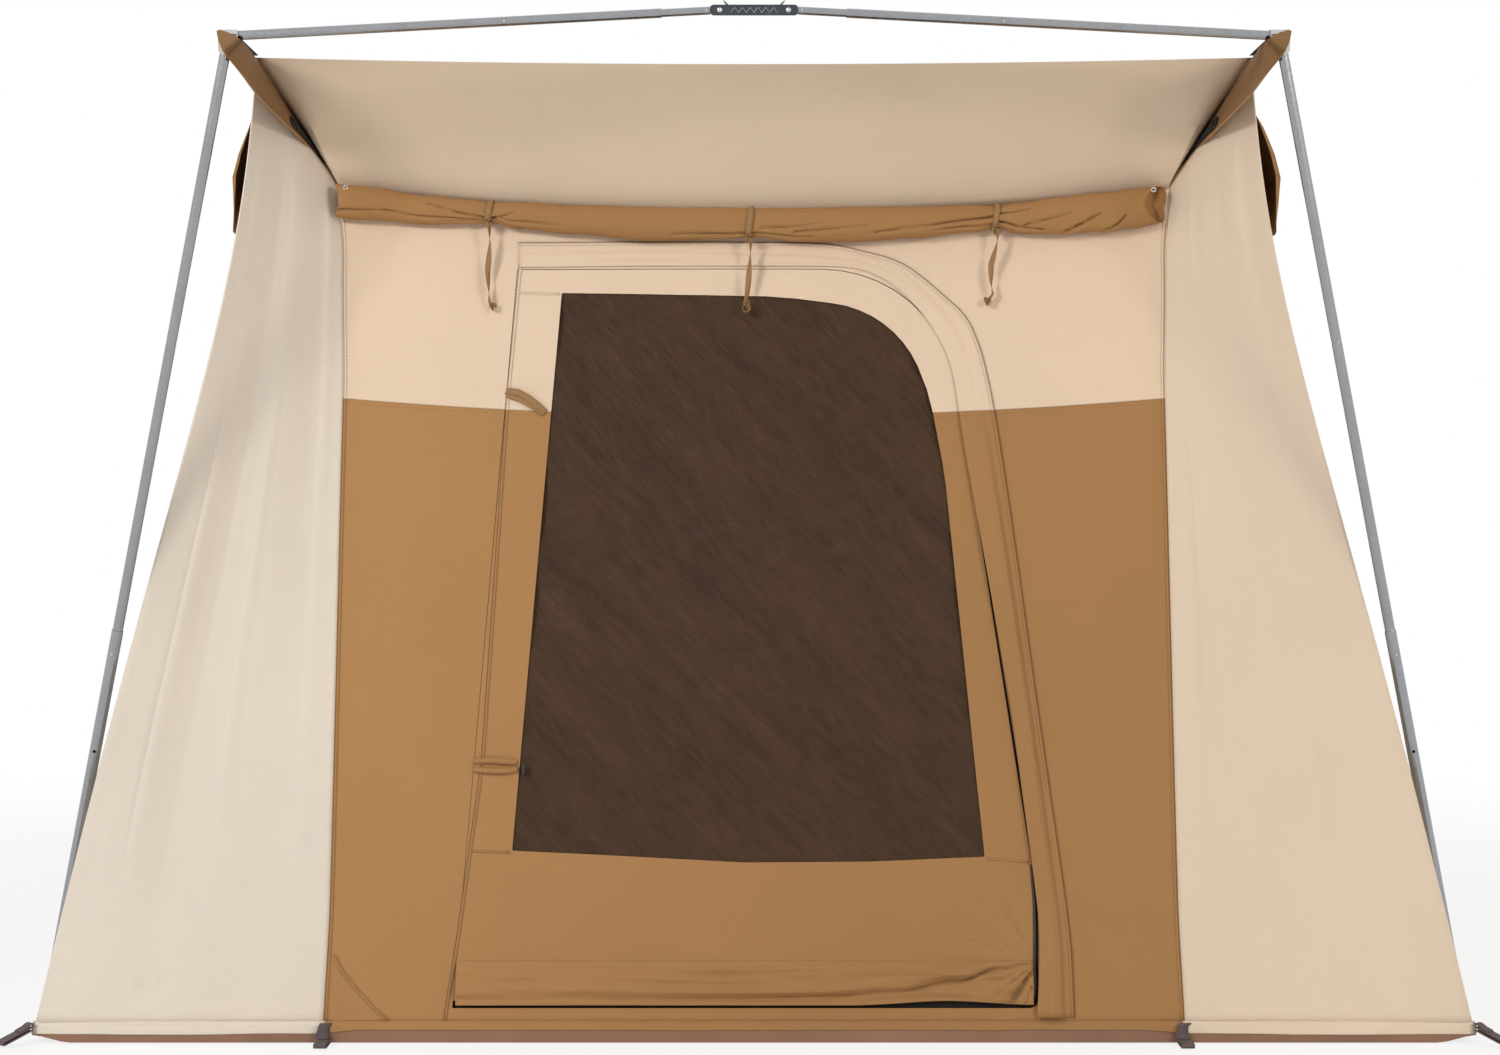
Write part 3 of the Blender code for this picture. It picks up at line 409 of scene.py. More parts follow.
def crease_height(finish, depth):
    """Height of shallow creases: long soft folds and a few finer ones across them."""
    folds = finish.cloud(finish.place((1.0, 1.0, 0.30)), 5.5, 2.0, 0.5, 0.25)
    slants = finish.cloud(finish.place((0.9, 0.9, 2.2), 0.5), 6.0, 3.0, 0.6, 0.4)
    fine = finish.cloud(finish.place((3.0, 3.0, 1.2)), 9.0, 4.0, 0.6, 0.3)
    return folds * depth * 1.6 + slants * depth * 0.8 + fine * depth * 0.35


def cloth_tint_and_fold_shade(finish, tint, swing=0.05):
    """A tint with clouds and slubs in it, and painted shade in the hollows of folds."""
    clouds = finish.cloud(finish.place(), 1.7, 4.0, 0.6)
    slubs = finish.cloud(finish.place((18, 420, 1), source="UV"), 1.0, 1.0)
    mixed = finish.between(clouds * 0.7 + slubs * 0.3, 0.30, 0.70)
    plain = finish.blend(mixed, shade(tint, 1 - swing), shade(tint, 1 + swing * 0.7))
    # Painted shade: the colour goes towards a darker copy of the tint where the fold attribute says
    # the point lies in a hollow.
    return finish.blend(finish.between(finish.fold(), 0.04, 0.40) * 0.75, plain, shade(tint, 0.42))


def canvas_finish(name, tint, swing=0.05, depth=0.0022):
    """Plain canvas of one colour."""
    finish = Finish(name, tint, 0.9, specular=CANVAS_SPECULAR)
    finish.colour(cloth_tint_and_fold_shade(finish, tint, swing))
    finish.relief(weave_height(finish) + crease_height(finish, depth))
    return finish


# %% [markdown]
# The end walls are two cloths sewn together: tan above and brown below. The seam hangs in a
# shallow curve, so the finish finds it from the height less a share of the distance from the
# middle, squared. A dark line of painted shade marks the turned edge; stitches run below it.

# %% Two-coloured end wall
BAND_Z = 1.331
BAND_BOW = 0.048
STITCH = 0.004


def above_band(finish):
    """Distance from the middle, and height over the seam between the two cloths."""
    x, _, z = finish.axes(finish.place())
    return x, z - (x * x * BAND_BOW + BAND_Z)


def banded_finish(name, upper, lower):
    """Canvas whose lower part is another colour, below a stitched seam."""
    finish = Finish(name, upper, 0.9, specular=CANVAS_SPECULAR)
    x, above = above_band(finish)
    top = cloth_tint_and_fold_shade(finish, upper)
    # Painted light: the lower cloth is made lighter towards the left, where the key lamp stands,
    # and slightly darker to the right.
    left = finish.between(x, 0.2, -0.75) * 0.13 + 0.97
    low = finish.node("ShaderNodeVectorMath", {"operation": "SCALE"},
                      {0: cloth_tint_and_fold_shade(finish, lower), "Scale": left})
    tinted = finish.blend(finish.between(above, -0.0006, 0.0006), low, top)
    # Painted shade: a dark line along the seam stands in for the shadow of its turned edge.
    edge = 1 - finish.between(above.absolute(), 0.0008, 0.0022)
    dashes = (x / (2 * STITCH)).fraction() > 0.4
    row = (1 - finish.between((above + 0.009).absolute(), 0.0005, 0.0012)) * dashes
    tinted = finish.blend(edge * 0.35, tinted, shade(lower, 0.35))
    tinted = finish.blend(row * 0.45, tinted, shade(lower, 0.5))
    finish.colour(tinted)
    fold = finish.between(above, -0.0012, 0.0012) * 0.0008
    finish.relief(weave_height(finish) + crease_height(finish, 0.0022) + fold)
    return finish


end_canvas = banded_finish("end_canvas", TAN, BROWN)
# Painted light: each side gets its own lit copy of the cream canvas.
side_canvas = {-1: canvas_finish("left_canvas_painted_light", CREAM_LEFT_PAINTED_LIGHT),
               1: canvas_finish("right_canvas_painted_light", CREAM_RIGHT_PAINTED_LIGHT)}
roof_canvas = canvas_finish("roof_canvas", BROW_TAN, 0.045, 0.0026)
brown_canvas = canvas_finish("brown_canvas", AWNING_BROWN, 0.08, 0.0034)
dark_canvas = canvas_finish("dark_canvas", DARK_BROWN, 0.06, 0.0016)
print("canvas finishes made")

# %% [markdown]
# Hems, bindings and tapes are folded strips with two rows of stitches. Their UV map runs
# along the strip in metres, so each row is a line at a fixed distance from the edge, broken
# into dashes.

# %% Stitched strips
def strip_finish(name, tint, width, upper=None, edge=0.0):
    """Strip of cloth with a row of stitches near each edge; edge sets how dark a painted shadow
    along the turned side is.
    """
    finish = Finish(name, tint, 0.88, specular=CANVAS_SPECULAR)
    u, v, _ = finish.axes(finish.place(source="UV"))
    inset = min(0.0025, width * 0.2)
    from_edge = (width / 2 - (v - width / 2).absolute() - inset).absolute()
    dashes = (u / (2 * STITCH)).fraction() > 0.35
    row = (1 - finish.between(from_edge, 0.0004, 0.0011)) * dashes
    tinted = cloth_tint_and_fold_shade(finish, tint)
    if upper is not None:
        _, above = above_band(finish)
        tinted = finish.blend(finish.between(above, -0.0006, 0.0006), tinted,
                              cloth_tint_and_fold_shade(finish, upper))
    tinted = finish.blend(row * 0.4, tinted, shade(tint, 0.55))
    # Painted shade: a dark line along the turned side stands in for the shadow of the seam's fold.
    turned_edge_shadow = finish.between(v, width - 0.0020, width - 0.0010)
    finish.colour(finish.blend(turned_edge_shadow * edge, tinted, shade(tint, 0.22)))
    finish.relief(weave_height(finish) + (1 - row) * 0.0005)
    return finish


TAPE_WIDTH = 0.018
BINDING_WIDTH = 0.012
SEAM_WIDTH = 0.008
tan_tape = strip_finish("tan_tape", TAN, TAPE_WIDTH)
brown_tape = strip_finish("brown_tape", BROWN, TAPE_WIDTH)
door_tape = strip_finish("door_tape", BROWN, TAPE_WIDTH, TAN)
seam_tape = strip_finish("seam_tape", BROWN, SEAM_WIDTH, TAN, 0.55)
binding_tape = strip_finish("binding_tape", BINDING, BINDING_WIDTH)

# %% [markdown]
# The netting is a very fine dark mesh. From the camera it reads as a dark cloth with a slight
# sheen, and its folds are painted lighter on their crests and darker in their hollows, as
# painted highlight and painted shade. A grid of holes 1.3 mm apart is drawn in its colour and
# relief, and the folds slant from the upper left to the lower right.

# %% Netting
HOLE_PITCH = 0.0013
SLANT = (0.74, 0.67)


def netting_finish(name, tint):
    """Fine mesh: dark threads round darker holes, with painted highlight and painted shade on its
    folds.
    """
    finish = Finish(name, tint, 0.42, specular=0.14)
    u, v, _ = finish.axes(finish.place(source="UV"))
    turns = math.pi / HOLE_PITCH
    holes = (u * turns).sine() * (v * turns).sine()
    x, y, z = finish.axes(finish.place())
    slant = finish.node("ShaderNodeCombineXYZ", values=[
        (x * SLANT[0] + z * SLANT[1]) * 9.0, y * 3.0, (x * SLANT[1] - z * SLANT[0]) * 1.8])
    creases = finish.cloud(slant, 1.6, 5.0, 0.62, 0.8)
    curls = finish.cloud(slant, 5.5, 4.0, 0.60, 1.6)
    # Painted highlight and painted shade: the colour is lighter where the creases and curls stand
    # high, and darker in the hollows that the fold attribute notes.
    hollow = finish.between(finish.fold(), -0.22, 0.22)
    level = (finish.between(creases, 0.38, 0.66) * 0.35 + finish.between(curls, 0.38, 0.62) * 0.35
             + (1 - hollow) * 0.30)
    tinted = finish.blend(level, shade(tint, 0.66), shade(tint, 1.46))
    finish.colour(finish.blend((holes * holes) * 0.25, tinted, shade(tint, 0.45)))
    finish.relief(holes * holes * -0.0001 + creases * 0.009 + curls * 0.004)
    return finish


netting = netting_finish("netting", NETTING)

# %% [markdown]
# ## Metal, webbing and plastic
#
# The tubes are bright zinc over steel: a cool grey with streaks along the tube, faint
# spangles and darker rubbed spots. The crown link is dark; its stamped ribs are a lighter grey,
# which is painted highlight.

# %% Steel, zinc and small finishes
def steel_finish(name, tint, roughness, spangle):
    """Zinc-coated steel with spangles and streaks."""
    finish = Finish(name, tint, roughness, 1.0)
    grains = finish.node("ShaderNodeTexVoronoi", {"feature": "F1"},
                         {"Vector": finish.place(), "Scale": spangle}, output="Color")
    level = finish.axes(grains)[0]
    streaks = finish.cloud(finish.place((24, 24, 5)), 1.0, 4.0, 0.6)
    worn = finish.between(streaks * 0.75 + level * 0.25, 0.25, 0.75)
    finish.colour(finish.blend(worn, shade(tint, 0.90), shade(tint, 1.06)))
    finish.rough(worn * 0.08 + (roughness - 0.04))
    finish.relief(streaks * 0.00001)
    return finish


tube_steel = steel_finish("tube_steel", (0.33, 0.34, 0.355), 0.19, 160.0)
bright_zinc = steel_finish("bright_zinc", (0.56, 0.55, 0.53), 0.28, 300.0)
dark_link = steel_finish("dark_link", (0.07, 0.08, 0.09), 0.36, 220.0)


def webbing_finish(name, tint):
    """Webbing with slanting ribs."""
    finish = Finish(name, tint, 0.85)
    u, v, _ = finish.axes(finish.place(source="UV"))
    turns = 2 * math.pi / 0.0028
    ribs = (u * turns + (v * turns).sine() * 1.2).sine()
    finish.colour(finish.blend(ribs * 0.5 + 0.5, shade(tint, 0.6), shade(tint, 1.3)))
    finish.relief(ribs * 0.0003)
    return finish


webbing = webbing_finish("webbing", WEBBING)
black_webbing = webbing_finish("black_webbing", tint_of("2E2623"))
tie_tape = webbing_finish("tie_tape", tint_of("A88256"))


def plastic_finish(name, tint, roughness):
    """Moulded plastic with a fine grain."""
    finish = Finish(name, tint, roughness)
    grain = finish.cloud(finish.place(), 900.0, 2.0)
    finish.colour(finish.blend(grain, shade(tint, 0.85), shade(tint, 1.1)))
    finish.relief(grain * 0.00008)
    return finish


black_plastic = plastic_finish("black_plastic", (0.02, 0.018, 0.016), 0.4)


def tub_finish(name, tint):
    """Coated floor sheet: a soft shine, dull dust and fine wrinkles."""
    finish = Finish(name, tint, 0.55)
    dust = finish.cloud(finish.place(), 3.0, 5.0, 0.65)
    fine = finish.cloud(finish.place((1, 1, 0.6)), 11.0, 3.0, 0.55, 0.9)
    dusty = finish.between(dust, 0.3, 0.7)
    finish.colour(finish.blend(dusty, shade(tint, 0.80), shade(tint, 1.18)))
    finish.rough(dust * 0.25 + 0.42)
    finish.relief(fine * 0.006)
    return finish


tub_sheet = tub_finish("tub_sheet", TUB_PINK)
print("finishes made:", len(bpy.data.materials))

# %% [markdown]
# ## Helpers for cloth
#
# Every sheet starts as a flat grid. A function of two shares, u across and v along, says
# where each point of the grid goes, and the UV map keeps the point's place in metres on the
# flat cloth. The grid then gets its thickness. A door or a window is cut out with a Boolean
# after that, because a closed solid cuts cleanly.

# %% Small sums
def lerp(low, high, share):
    """Value or point between two others."""
    return low + (high - low) * share


def clamp(value, low=0.0, high=1.0):
    """The value, kept between two others."""
    return min(max(value, low), high)


def smooth(share):
    """Share from 0 to 1 that starts and ends gently."""
    share = clamp(share)
    return share * share * (3 - 2 * share)


def drift(x, y, seed):
    """Soft noise from about -1 to 1 that is the same each run."""
    return noise.noise(Vector((x, y, seed)))


def ridge(x, y, seed, sharp=1.6):
    """Sharp crests with soft hollows between them, from 0.5 down to about -1."""
    return 0.5 - sharp * abs(drift(x, y, seed))


def outward_from(point):
    """Direction away from the middle of the tent."""
    return (point - Vector((0, 0, ROOF_TOP / 2))).normalized()


# %% Making a sheet
def settle(piece):
    """Apply a piece's modifiers to its mesh."""
    bpy.context.view_layer.update()
    graph = bpy.context.evaluated_depsgraph_get()
    mesh = bpy.data.meshes.new_from_object(piece.evaluated_get(graph))
    piece.modifiers.clear()
    piece.data = mesh
    return piece


def new_piece(name, bm, finish, body="canvas", smooth_angle=40):
    """Object from a bmesh, with its finish, riding on a body."""
    mesh = mesh_from(name, bm)
    mesh.materials.append(finish.material)
    mesh.shade_smooth()
    mesh.set_sharp_from_angle(angle=math.radians(smooth_angle))
    piece = add_object(name, mesh)
    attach(piece, body)
    return piece


def thicken(piece, thickness, offset):
    """Give a sheet its thickness: offset -1 is inwards, 0 is to both sides."""
    shell = piece.modifiers.new("thickness", "SOLIDIFY")
    shell.thickness = thickness
    shell.offset = offset
    return settle(piece)


FOLD_GAIN = 1.6


def note_folds(bm):
    """Store how deep each point lies between its neighbours, as a share of their distance."""
    layer = bm.verts.layers.float.new("fold")
    bm.verts.index_update()
    raw = []
    for vert in bm.verts:
        near = [edge.other_vert(vert).co - vert.co for edge in vert.link_edges]
        middle = sum(near, Vector()) / len(near)
        spread = sum(step.length for step in near) / len(near)
        raw.append(0.0 if vert.is_boundary else middle.dot(vert.normal) / max(spread, 1e-5))
    for vert in bm.verts:
        near = [raw[edge.other_vert(vert).index] for edge in vert.link_edges]
        vert[layer] = (raw[vert.index] + sum(near) / len(near)) * FOLD_GAIN


def grid_sheet(name, columns, rows, place, size, finish, body="canvas", thickness=CLOTH,
               angle=40, closed=False, spacing=None, outward=outward_from):
    """Sheet of cloth: place(u, v) gives each point, size is its flat width and length.

    Where spacing is given, it maps an even share of v to the share where the row lies. The
    function outward says which way the sheet's face looks at a point.
    """
    bm = bmesh.new()
    bmesh.ops.create_grid(bm, x_segments=columns, y_segments=rows, size=1)
    if spacing:
        for vert in bm.verts:
            vert.co.y = 2 * spacing((vert.co.y + 1) / 2) - 1
    flat = bm.loops.layers.uv.new("flat")
    for face in bm.faces:
        for loop in face.loops:
            share = loop.vert.co
            loop[flat].uv = ((share.x + 1) / 2 * size[0], (share.y + 1) / 2 * size[1])
    for vert in bm.verts:
        vert.co = place((vert.co.x + 1) / 2, (vert.co.y + 1) / 2)
    if closed:
        bmesh.ops.remove_doubles(bm, verts=bm.verts, dist=1e-5)
    bm.normal_update()
    facing = sum(face.normal.dot(outward(face.calc_center_median())) for face in bm.faces)
    if facing < 0:
        bmesh.ops.reverse_faces(bm, faces=bm.faces)
        bm.normal_update()
    note_folds(bm)
    piece = new_piece(name, bm, finish, body, angle)
    return thicken(piece, thickness, -1)


def outline_cutter(outline, place, near, far):
    """Closed prism that follows an outline of (u, v) points through a wall."""
    bm = bmesh.new()
    ring = [bm.verts.new(place(point.x, point.y, near)) for point in outline]
    face = bm.faces.new(ring)
    pushed = bmesh.ops.extrude_face_region(bm, geom=[face])["geom"]
    moved = [item for item in pushed if isinstance(item, bmesh.types.BMVert)]
    bmesh.ops.translate(bm, verts=moved, vec=place(0, 0, far) - place(0, 0, near))
    bmesh.ops.recalc_face_normals(bm, faces=bm.faces)
    return add_object("cutter", mesh_from("cutter", bm))


def cut(piece, cutter, operation="DIFFERENCE"):
    """Cut a piece with a cutter, which is then removed."""
    modifier = piece.modifiers.new("cut", "BOOLEAN")
    modifier.operation = operation
    modifier.solver = "EXACT"
    modifier.object = cutter
    settle(piece)
    bpy.data.objects.remove(cutter, do_unlink=True)
    return piece


# %% Outlines with rounded corners
ARC_STEP = math.radians(8)


def rounded_outline(corners):
    """Outline through (x, z, radius) corners, each rounded by an arc."""
    points = []
    count = len(corners)
    for index, (x, z, radius) in enumerate(corners):
        here = Vector((x, z))
        to_last = (Vector(corners[index - 1][:2]) - here).normalized()
        to_next = (Vector(corners[(index + 1) % count][:2]) - here).normalized()
        opening = to_last.angle(to_next)
        turn = math.pi - opening
        if radius <= 0 or turn < 1e-4:
            points.append(here)
            continue
        reach = radius / math.tan(opening / 2)
        centre = here + (to_last + to_next).normalized() * (radius / math.sin(opening / 2))
        start = here + to_last * reach - centre
        sign = 1 if to_last.x * to_next.y - to_last.y * to_next.x < 0 else -1
        steps = max(1, round(turn / ARC_STEP))
        for k in range(steps + 1):
            points.append(centre + Matrix.Rotation(sign * turn * k / steps, 2) @ start)
    return points


def grown(points, amount):
    """The outline moved outwards by amount, or inwards where it is negative."""
    area = sum(a.x * b.y - b.x * a.y for a, b in zip(points, points[1:] + points[:1]))
    side = 1 if area > 0 else -1
    result = []
    for index, here in enumerate(points):
        before = (here - points[index - 1]).normalized()
        after = (points[(index + 1) % len(points)] - here).normalized()
        mitre = Vector((before.y, -before.x)) * side + Vector((after.y, -after.x)) * side
        result.append(here + mitre * (2 * amount / mitre.length_squared))
    return result


def walk(points, closed=False):
    """Function from a share of the path's length to its point, and that length."""
    ring = points + points[:1] if closed else points
    steps = [(b - a).length for a, b in zip(ring, ring[1:])]
    total = sum(steps)

    def at(share):
        left = clamp(share) * total
        for here, there, step in zip(ring, ring[1:], steps):
            if left <= step or there is ring[-1]:
                return lerp(here, there, left / step)
            left -= step
    return at, total


def eased(stations, share):
    """Point at a share of a smooth curve through (share, point) stations."""
    last = len(stations) - 1
    k = next((k for k in range(last) if share <= stations[k + 1][0]), last - 1)
    (first, near), (end, far) = stations[k], stations[k + 1]
    before, after = stations[max(k - 1, 0)], stations[min(k + 2, last)]
    span = end - first
    leave = (far - before[1]) * (span / (end - before[0]))
    arrive = (after[1] - near) * (span / (after[0] - first))
    s = (share - first) / span
    return (near * (2 * s ** 3 - 3 * s ** 2 + 1) + leave * (s ** 3 - 2 * s ** 2 + s)
            + far * (3 * s ** 2 - 2 * s ** 3) + arrive * (s ** 3 - s ** 2))


def smoothed(path, count):
    """The path resampled as a smooth curve with count steps."""
    reach = [0.0]
    for here, there in zip(path, path[1:]):
        reach.append(reach[-1] + (there - here).length)
    stations = [(length / reach[-1], point) for length, point in zip(reach, path)]
    return [eased(stations, k / count) for k in range(count + 1)]


# %% [markdown]
# ## The shape of the canvas
#
# These functions say where the sewn body lies. The end walls lean back. The sides lean in. A
# wedge joins them at each corner and is drawn in a little between the rim and the roof. The
# brow folds down from the roof's edge to a bowed seam. Each wall has its own soft waves,
# which fade out at its seams so that neighbours still meet.

# %% Walls, corners, brow and roof
def end_point(sign, x, z, proud=0.0):
    """Point of the leaning end wall; sign is -1 at the front."""
    out = Vector((0, sign, PANEL_LEAN)).normalized()
    return Vector((x, sign * (HALF - PANEL_LEAN * z), z)) + out * proud


def side_half(y, z):
    """Half width of the tent at a place of the side wall; the corners are drawn in."""
    draw = CORNER_DRAW * math.sin(math.pi * clamp(z / ROOF_TOP) ** CORNER_DRAW_RISE)
    return HALF - SIDE_LEAN * z - draw * smooth((abs(y) - CORNER_DRAW_FROM) / 0.55)


def side_point(sign, y, z, proud=0.0):
    """Point of the leaning side wall; sign is -1 on the left."""
    out = Vector((sign, 0, SIDE_LEAN)).normalized()
    return Vector((sign * side_half(y, z), y, z)) + out * proud


def along_rows(rows, x):
    """Values of the rows at x, eased between its neighbours."""
    for low, high in zip(rows, rows[1:]):
        if x <= high[0] or high is rows[-1]:
            share = smooth((x - low[0]) / (high[0] - low[0]))
            return [lerp(a, b, share) for a, b in zip(low[1:], high[1:])]


def seam_x(z):
    """Half width of the end wall at a height, with its flare below the brow's tip."""
    return along_rows(SEAM_ROWS, z)[0]


def corner_point(z, sign_x, sign_y):
    """Point of the corner seam."""
    share = z / ROOF_TOP
    y = HALF - ROOF_SETBACK * share - CORNER_HOLLOW * math.sin(math.pi * share)
    return Vector((sign_x * side_half(y, z), sign_y * y, z))


def brow_height(spread):
    """Height of the brow's seam across the end wall; spread runs from -1 to 1."""
    bowed = BROW_Z + BROW_BOW * spread ** 2
    return lerp(bowed, TIP_Z, smooth((abs(spread) - TIP_SPREAD) / (1 - TIP_SPREAD)))


def wall_wave(x, z, seed):
    """How far the end wall's cloth stands out, fading to nothing at its seams."""
    broad = 0.0040 * drift(x * 1.7, z * 1.2, seed)
    drape = 0.0030 * drift(x * 7.5, z * 0.9, seed + 4)
    calm = smooth((z - RIM) / 0.12) * smooth((BROW_Z - z) / 0.15)
    calm *= smooth((PANEL_HALF - abs(x)) / 0.05)
    gathered = smooth((abs(x) - 0.62) / 0.08)
    gathered *= smooth((z - 1.00) / 0.30) * smooth((1.36 - z) / 0.04)
    gathers = 0.0016 * gathered * drift(x * 17.0 + 3.0 * (1.3 - z), z * 1.5, seed + 8)
    return (broad + drape + gathers) * calm


END_SEED = {-1: 1.0, 1: 2.0}


def end_surface(sign, x, z, proud=0.0):
    """Point of an end wall with its waves."""
    return end_point(sign, x, z, wall_wave(x, z, END_SEED[sign]) + proud)


def end_wall_place(sign):
    """Grid function of an end wall from the rim up to the brow."""
    def place(u, v):
        spread = 2 * u - 1
        edge_z = lerp(FOOT, TIP_Z, v)
        z = lerp(FOOT, brow_height(spread), v)
        x = spread * seam_x(edge_z)
        return end_surface(sign, x, z)
    return place


def roof_point(across, along):
    """Point of the roof; both shares run from -1 to 1."""
    sag = (ROOF_SAG * (1 - along ** 2) + EDGE_SAG) * (1 - across ** 2)
    ripple = 0.006 * drift(across * 2.2, along * 3.0, 7.0) * (1 - across ** 4) * (1 - along ** 4)
    return Vector((across * ROOF_HALF, along * ROOF_EDGE, ROOF_TOP - sag + min(ripple, 0.0)))


BROW_SHARE = 0.12


def roof_place(u, v):
    """Grid function of the roof with the brow folded down at each end."""
    across = 2 * u - 1
    if BROW_SHARE <= v <= 1 - BROW_SHARE:
        return roof_point(across, 2 * (v - BROW_SHARE) / (1 - 2 * BROW_SHARE) - 1)
    sign = -1 if v < 0.5 else 1
    share = (v if v < 0.5 else 1 - v) / BROW_SHARE
    low = end_point(sign, across * TIP_X, brow_height(across))
    high = roof_point(across, sign)
    point = lerp(low, high, share)
    edge_calm = smooth((1 - abs(across)) / 0.2)
    hollow = 0.012 * math.sin(math.pi * share) * edge_calm
    ripple = 0.004 * drift(across * 3.1, share * 1.4, 11.0 + sign) * math.sin(math.pi * share)
    return point + Vector((0, -sign, 0.7)).normalized() * (hollow + ripple * edge_calm)


WEDGE_SHARE = 0.22
FOLD_COUNT = 5.0
CRESTS = {-1: ((0.78, 0.045, 0.011), (0.46, 0.030, 0.004)),
          1: ((0.10, 0.060, 0.007), (0.60, 0.040, 0.005))}


def crest_height(sign, share, v):
    """Long upright folds of a wedge; share runs from its seam to the corner."""
    total = 0.0
    for middle, wide, height in CRESTS[sign]:
        off = (share - middle - 0.02 * drift(v * 2.5, middle, 39.0)) / wide
        total += height * math.exp(-off * off * (1.0 if off < 0 else 3.5))
    return total * smooth((v - 0.04) / 0.30) * smooth((0.88 - v) / 0.35)


def side_wave(sign, y, z):
    """How far a side wall's cloth stands out."""
    broad = 0.006 * drift(y * 1.5, z * 1.1, 21.0 + sign)
    return broad + 0.003 * drift(y * 6.0, z * 0.8, 25.0 + sign)


def side_surface(sign, y, z, proud=0.0):
    """Point of a side wall with its waves."""
    return side_point(sign, y, z, side_wave(sign, y, z) + proud)


def side_place(sign):
    """Grid function of one side: front wedge, side wall and rear wedge."""
    def place(u, v):
        seam_z = lerp(FOOT, TIP_Z, v)
        corner_z = seam_z + (ROOF_TOP - TIP_Z) * v ** 6
        if WEDGE_SHARE <= u <= 1 - WEDGE_SHARE:
            share = (u - WEDGE_SHARE) / (1 - 2 * WEDGE_SHARE)
            front = corner_point(corner_z, sign, -1)
            rear = corner_point(corner_z, sign, 1)
            point = lerp(front, rear, share)
            calm = smooth(share / 0.08) * smooth((1 - share) / 0.08)
            calm *= smooth(v / 0.06) * smooth((1 - v) / 0.06)
            return side_point(sign, point.y, point.z, side_wave(sign, point.y, point.z) * calm)
        end = -1 if u < 0.5 else 1
        share = (u if u < 0.5 else 1 - u) / WEDGE_SHARE
        seam = end_point(end, sign * seam_x(seam_z), seam_z)
        corner = corner_point(corner_z, sign, end)
        point = lerp(seam, corner, share)
        belly = 4 * share * (1 - share)
        hollow = WEDGE_HOLLOW * math.sin(math.pi * seam_z / ROOF_TOP) * belly * (1 - v ** 8)
        fan = drift(share * FOLD_COUNT + 0.3, v * 0.9, 31.0 + sign + 3 * end)
        fine = drift(share * 13.0, v * 1.6, 37.0 + sign + 3 * end)
        calm = smooth(v / 0.05) * smooth((1 - v) / 0.10)
        wave = (0.010 * fan + 0.003 * fine) * min(1.0, 3 * belly) * calm
        out = Vector((sign * 0.45, end, 0.2)).normalized()
        wave += crest_height(sign, share, v) * min(1.0, 8 * share * (1 - share))
        return point - Vector((0, end * hollow, 0)) + out * wave
    return place


# %% [markdown]
# ## The door and the windows
#
# The door is unzipped along its top and right edges and is sewn on at the left. Its outline
# has a rounded shoulder. The netting in it has the same shape, one hem smaller.

# %% Outlines of the door and the windows
def door_outline(foot, inset=0.0):
    """Outline of the door with its foot at a height; inset draws its zipped edge in."""
    return rounded_outline([
        (-0.636, foot, 0), (0.600 - inset, foot, 0.020), (0.603 - inset, 0.330, 0.500),
        (0.410, 1.660, 0.300), (-0.525, 1.660, 0)])


DOOR_OPENING = door_outline(0.0725)
DOOR_OUTLINE = door_outline(0.086, 0.005)
DOOR_WINDOW = rounded_outline([
    (-0.516, 0.397, 0.003), (-0.328, 0.388, 0.0), (-0.019, 0.372, 0.0), (0.247, 0.374, 0.0),
    (0.492, 0.384, 0.004), (0.418, 1.201, 0.600), (0.385, 1.390, 0.450), (0.336, 1.500, 0.240),
    (0.238, 1.575, 0.230), (0.060, 1.598, 0.600), (-0.426, 1.607, 0.003)])


WINDOW_ROUND = 0.080


def box_corners(half, low, high, low_radius, high_radius):
    """Corners of a rectangle, each with its radius, for rounded_outline."""
    return [(-half, low, low_radius), (half, low, low_radius),
            (half, high, high_radius), (-half, high, high_radius)]


def window_outline(width, foot, head):
    """Window outline with rounded corners, centred on its wall."""
    return rounded_outline(box_corners(width / 2, foot, head, WINDOW_ROUND, WINDOW_ROUND))


SIDE_WINDOW = window_outline(1.500, 0.800, 1.660)
REAR_WINDOW = window_outline(1.300, 0.850, 1.620)
ZIP_GAP = 0.0008
THROUGH = 0.030


front_plane = partial(end_point, -1)
rear_plane = partial(end_point, 1)
side_plane = {sign: partial(side_point, sign) for sign, _ in SIDES}


def wall_cutter(plane, outline):
    """Cutter through a wall that lies in a plane."""
    return outline_cutter(outline, lambda a, b, depth: plane(a, b, -depth), -THROUGH, THROUGH)


# %% [markdown]
# ## Sewing the body
#
# Five sheets make the body: two end walls, two sides that run round both corners, and the
# roof with its brows. Each stands for one solid of the frame.


def sag_with_frame(piece):
    """Give the piece its own copy of its mesh."""
    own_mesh(piece)
    return piece


WALL_TALL = math.hypot(1, PANEL_LEAN) * (BROW_Z - FOOT)
SIDE_TALL = 2.06
SIDE_LONG = 3.90
ROOF_LONG = 2 * ROOF_EDGE + 0.74

front_wall = grid_sheet("front_wall", 200, 120, end_wall_place(-1),
                        (2 * PANEL_HALF, WALL_TALL), end_canvas)
cut(front_wall, wall_cutter(front_plane, grown(DOOR_OPENING, ZIP_GAP)))
rear_wall = grid_sheet("rear_wall", 110, 100, end_wall_place(1),
                       (2 * PANEL_HALF, WALL_TALL), end_canvas)
cut(rear_wall, wall_cutter(rear_plane, REAR_WINDOW))
end_walls = {"front": front_wall, "rear": rear_wall}
side_walls = {}
for sign, across in SIDES:
    wall = grid_sheet(f"side_wall_{across}", 240, 90, side_place(sign), (SIDE_LONG, SIDE_TALL),
                      side_canvas[sign])
    side_walls[across] = cut(wall, wall_cutter(side_plane[sign], SIDE_WINDOW))
roof = grid_sheet("roof", 90, 150, roof_place, (2 * ROOF_HALF, ROOF_LONG), roof_canvas)
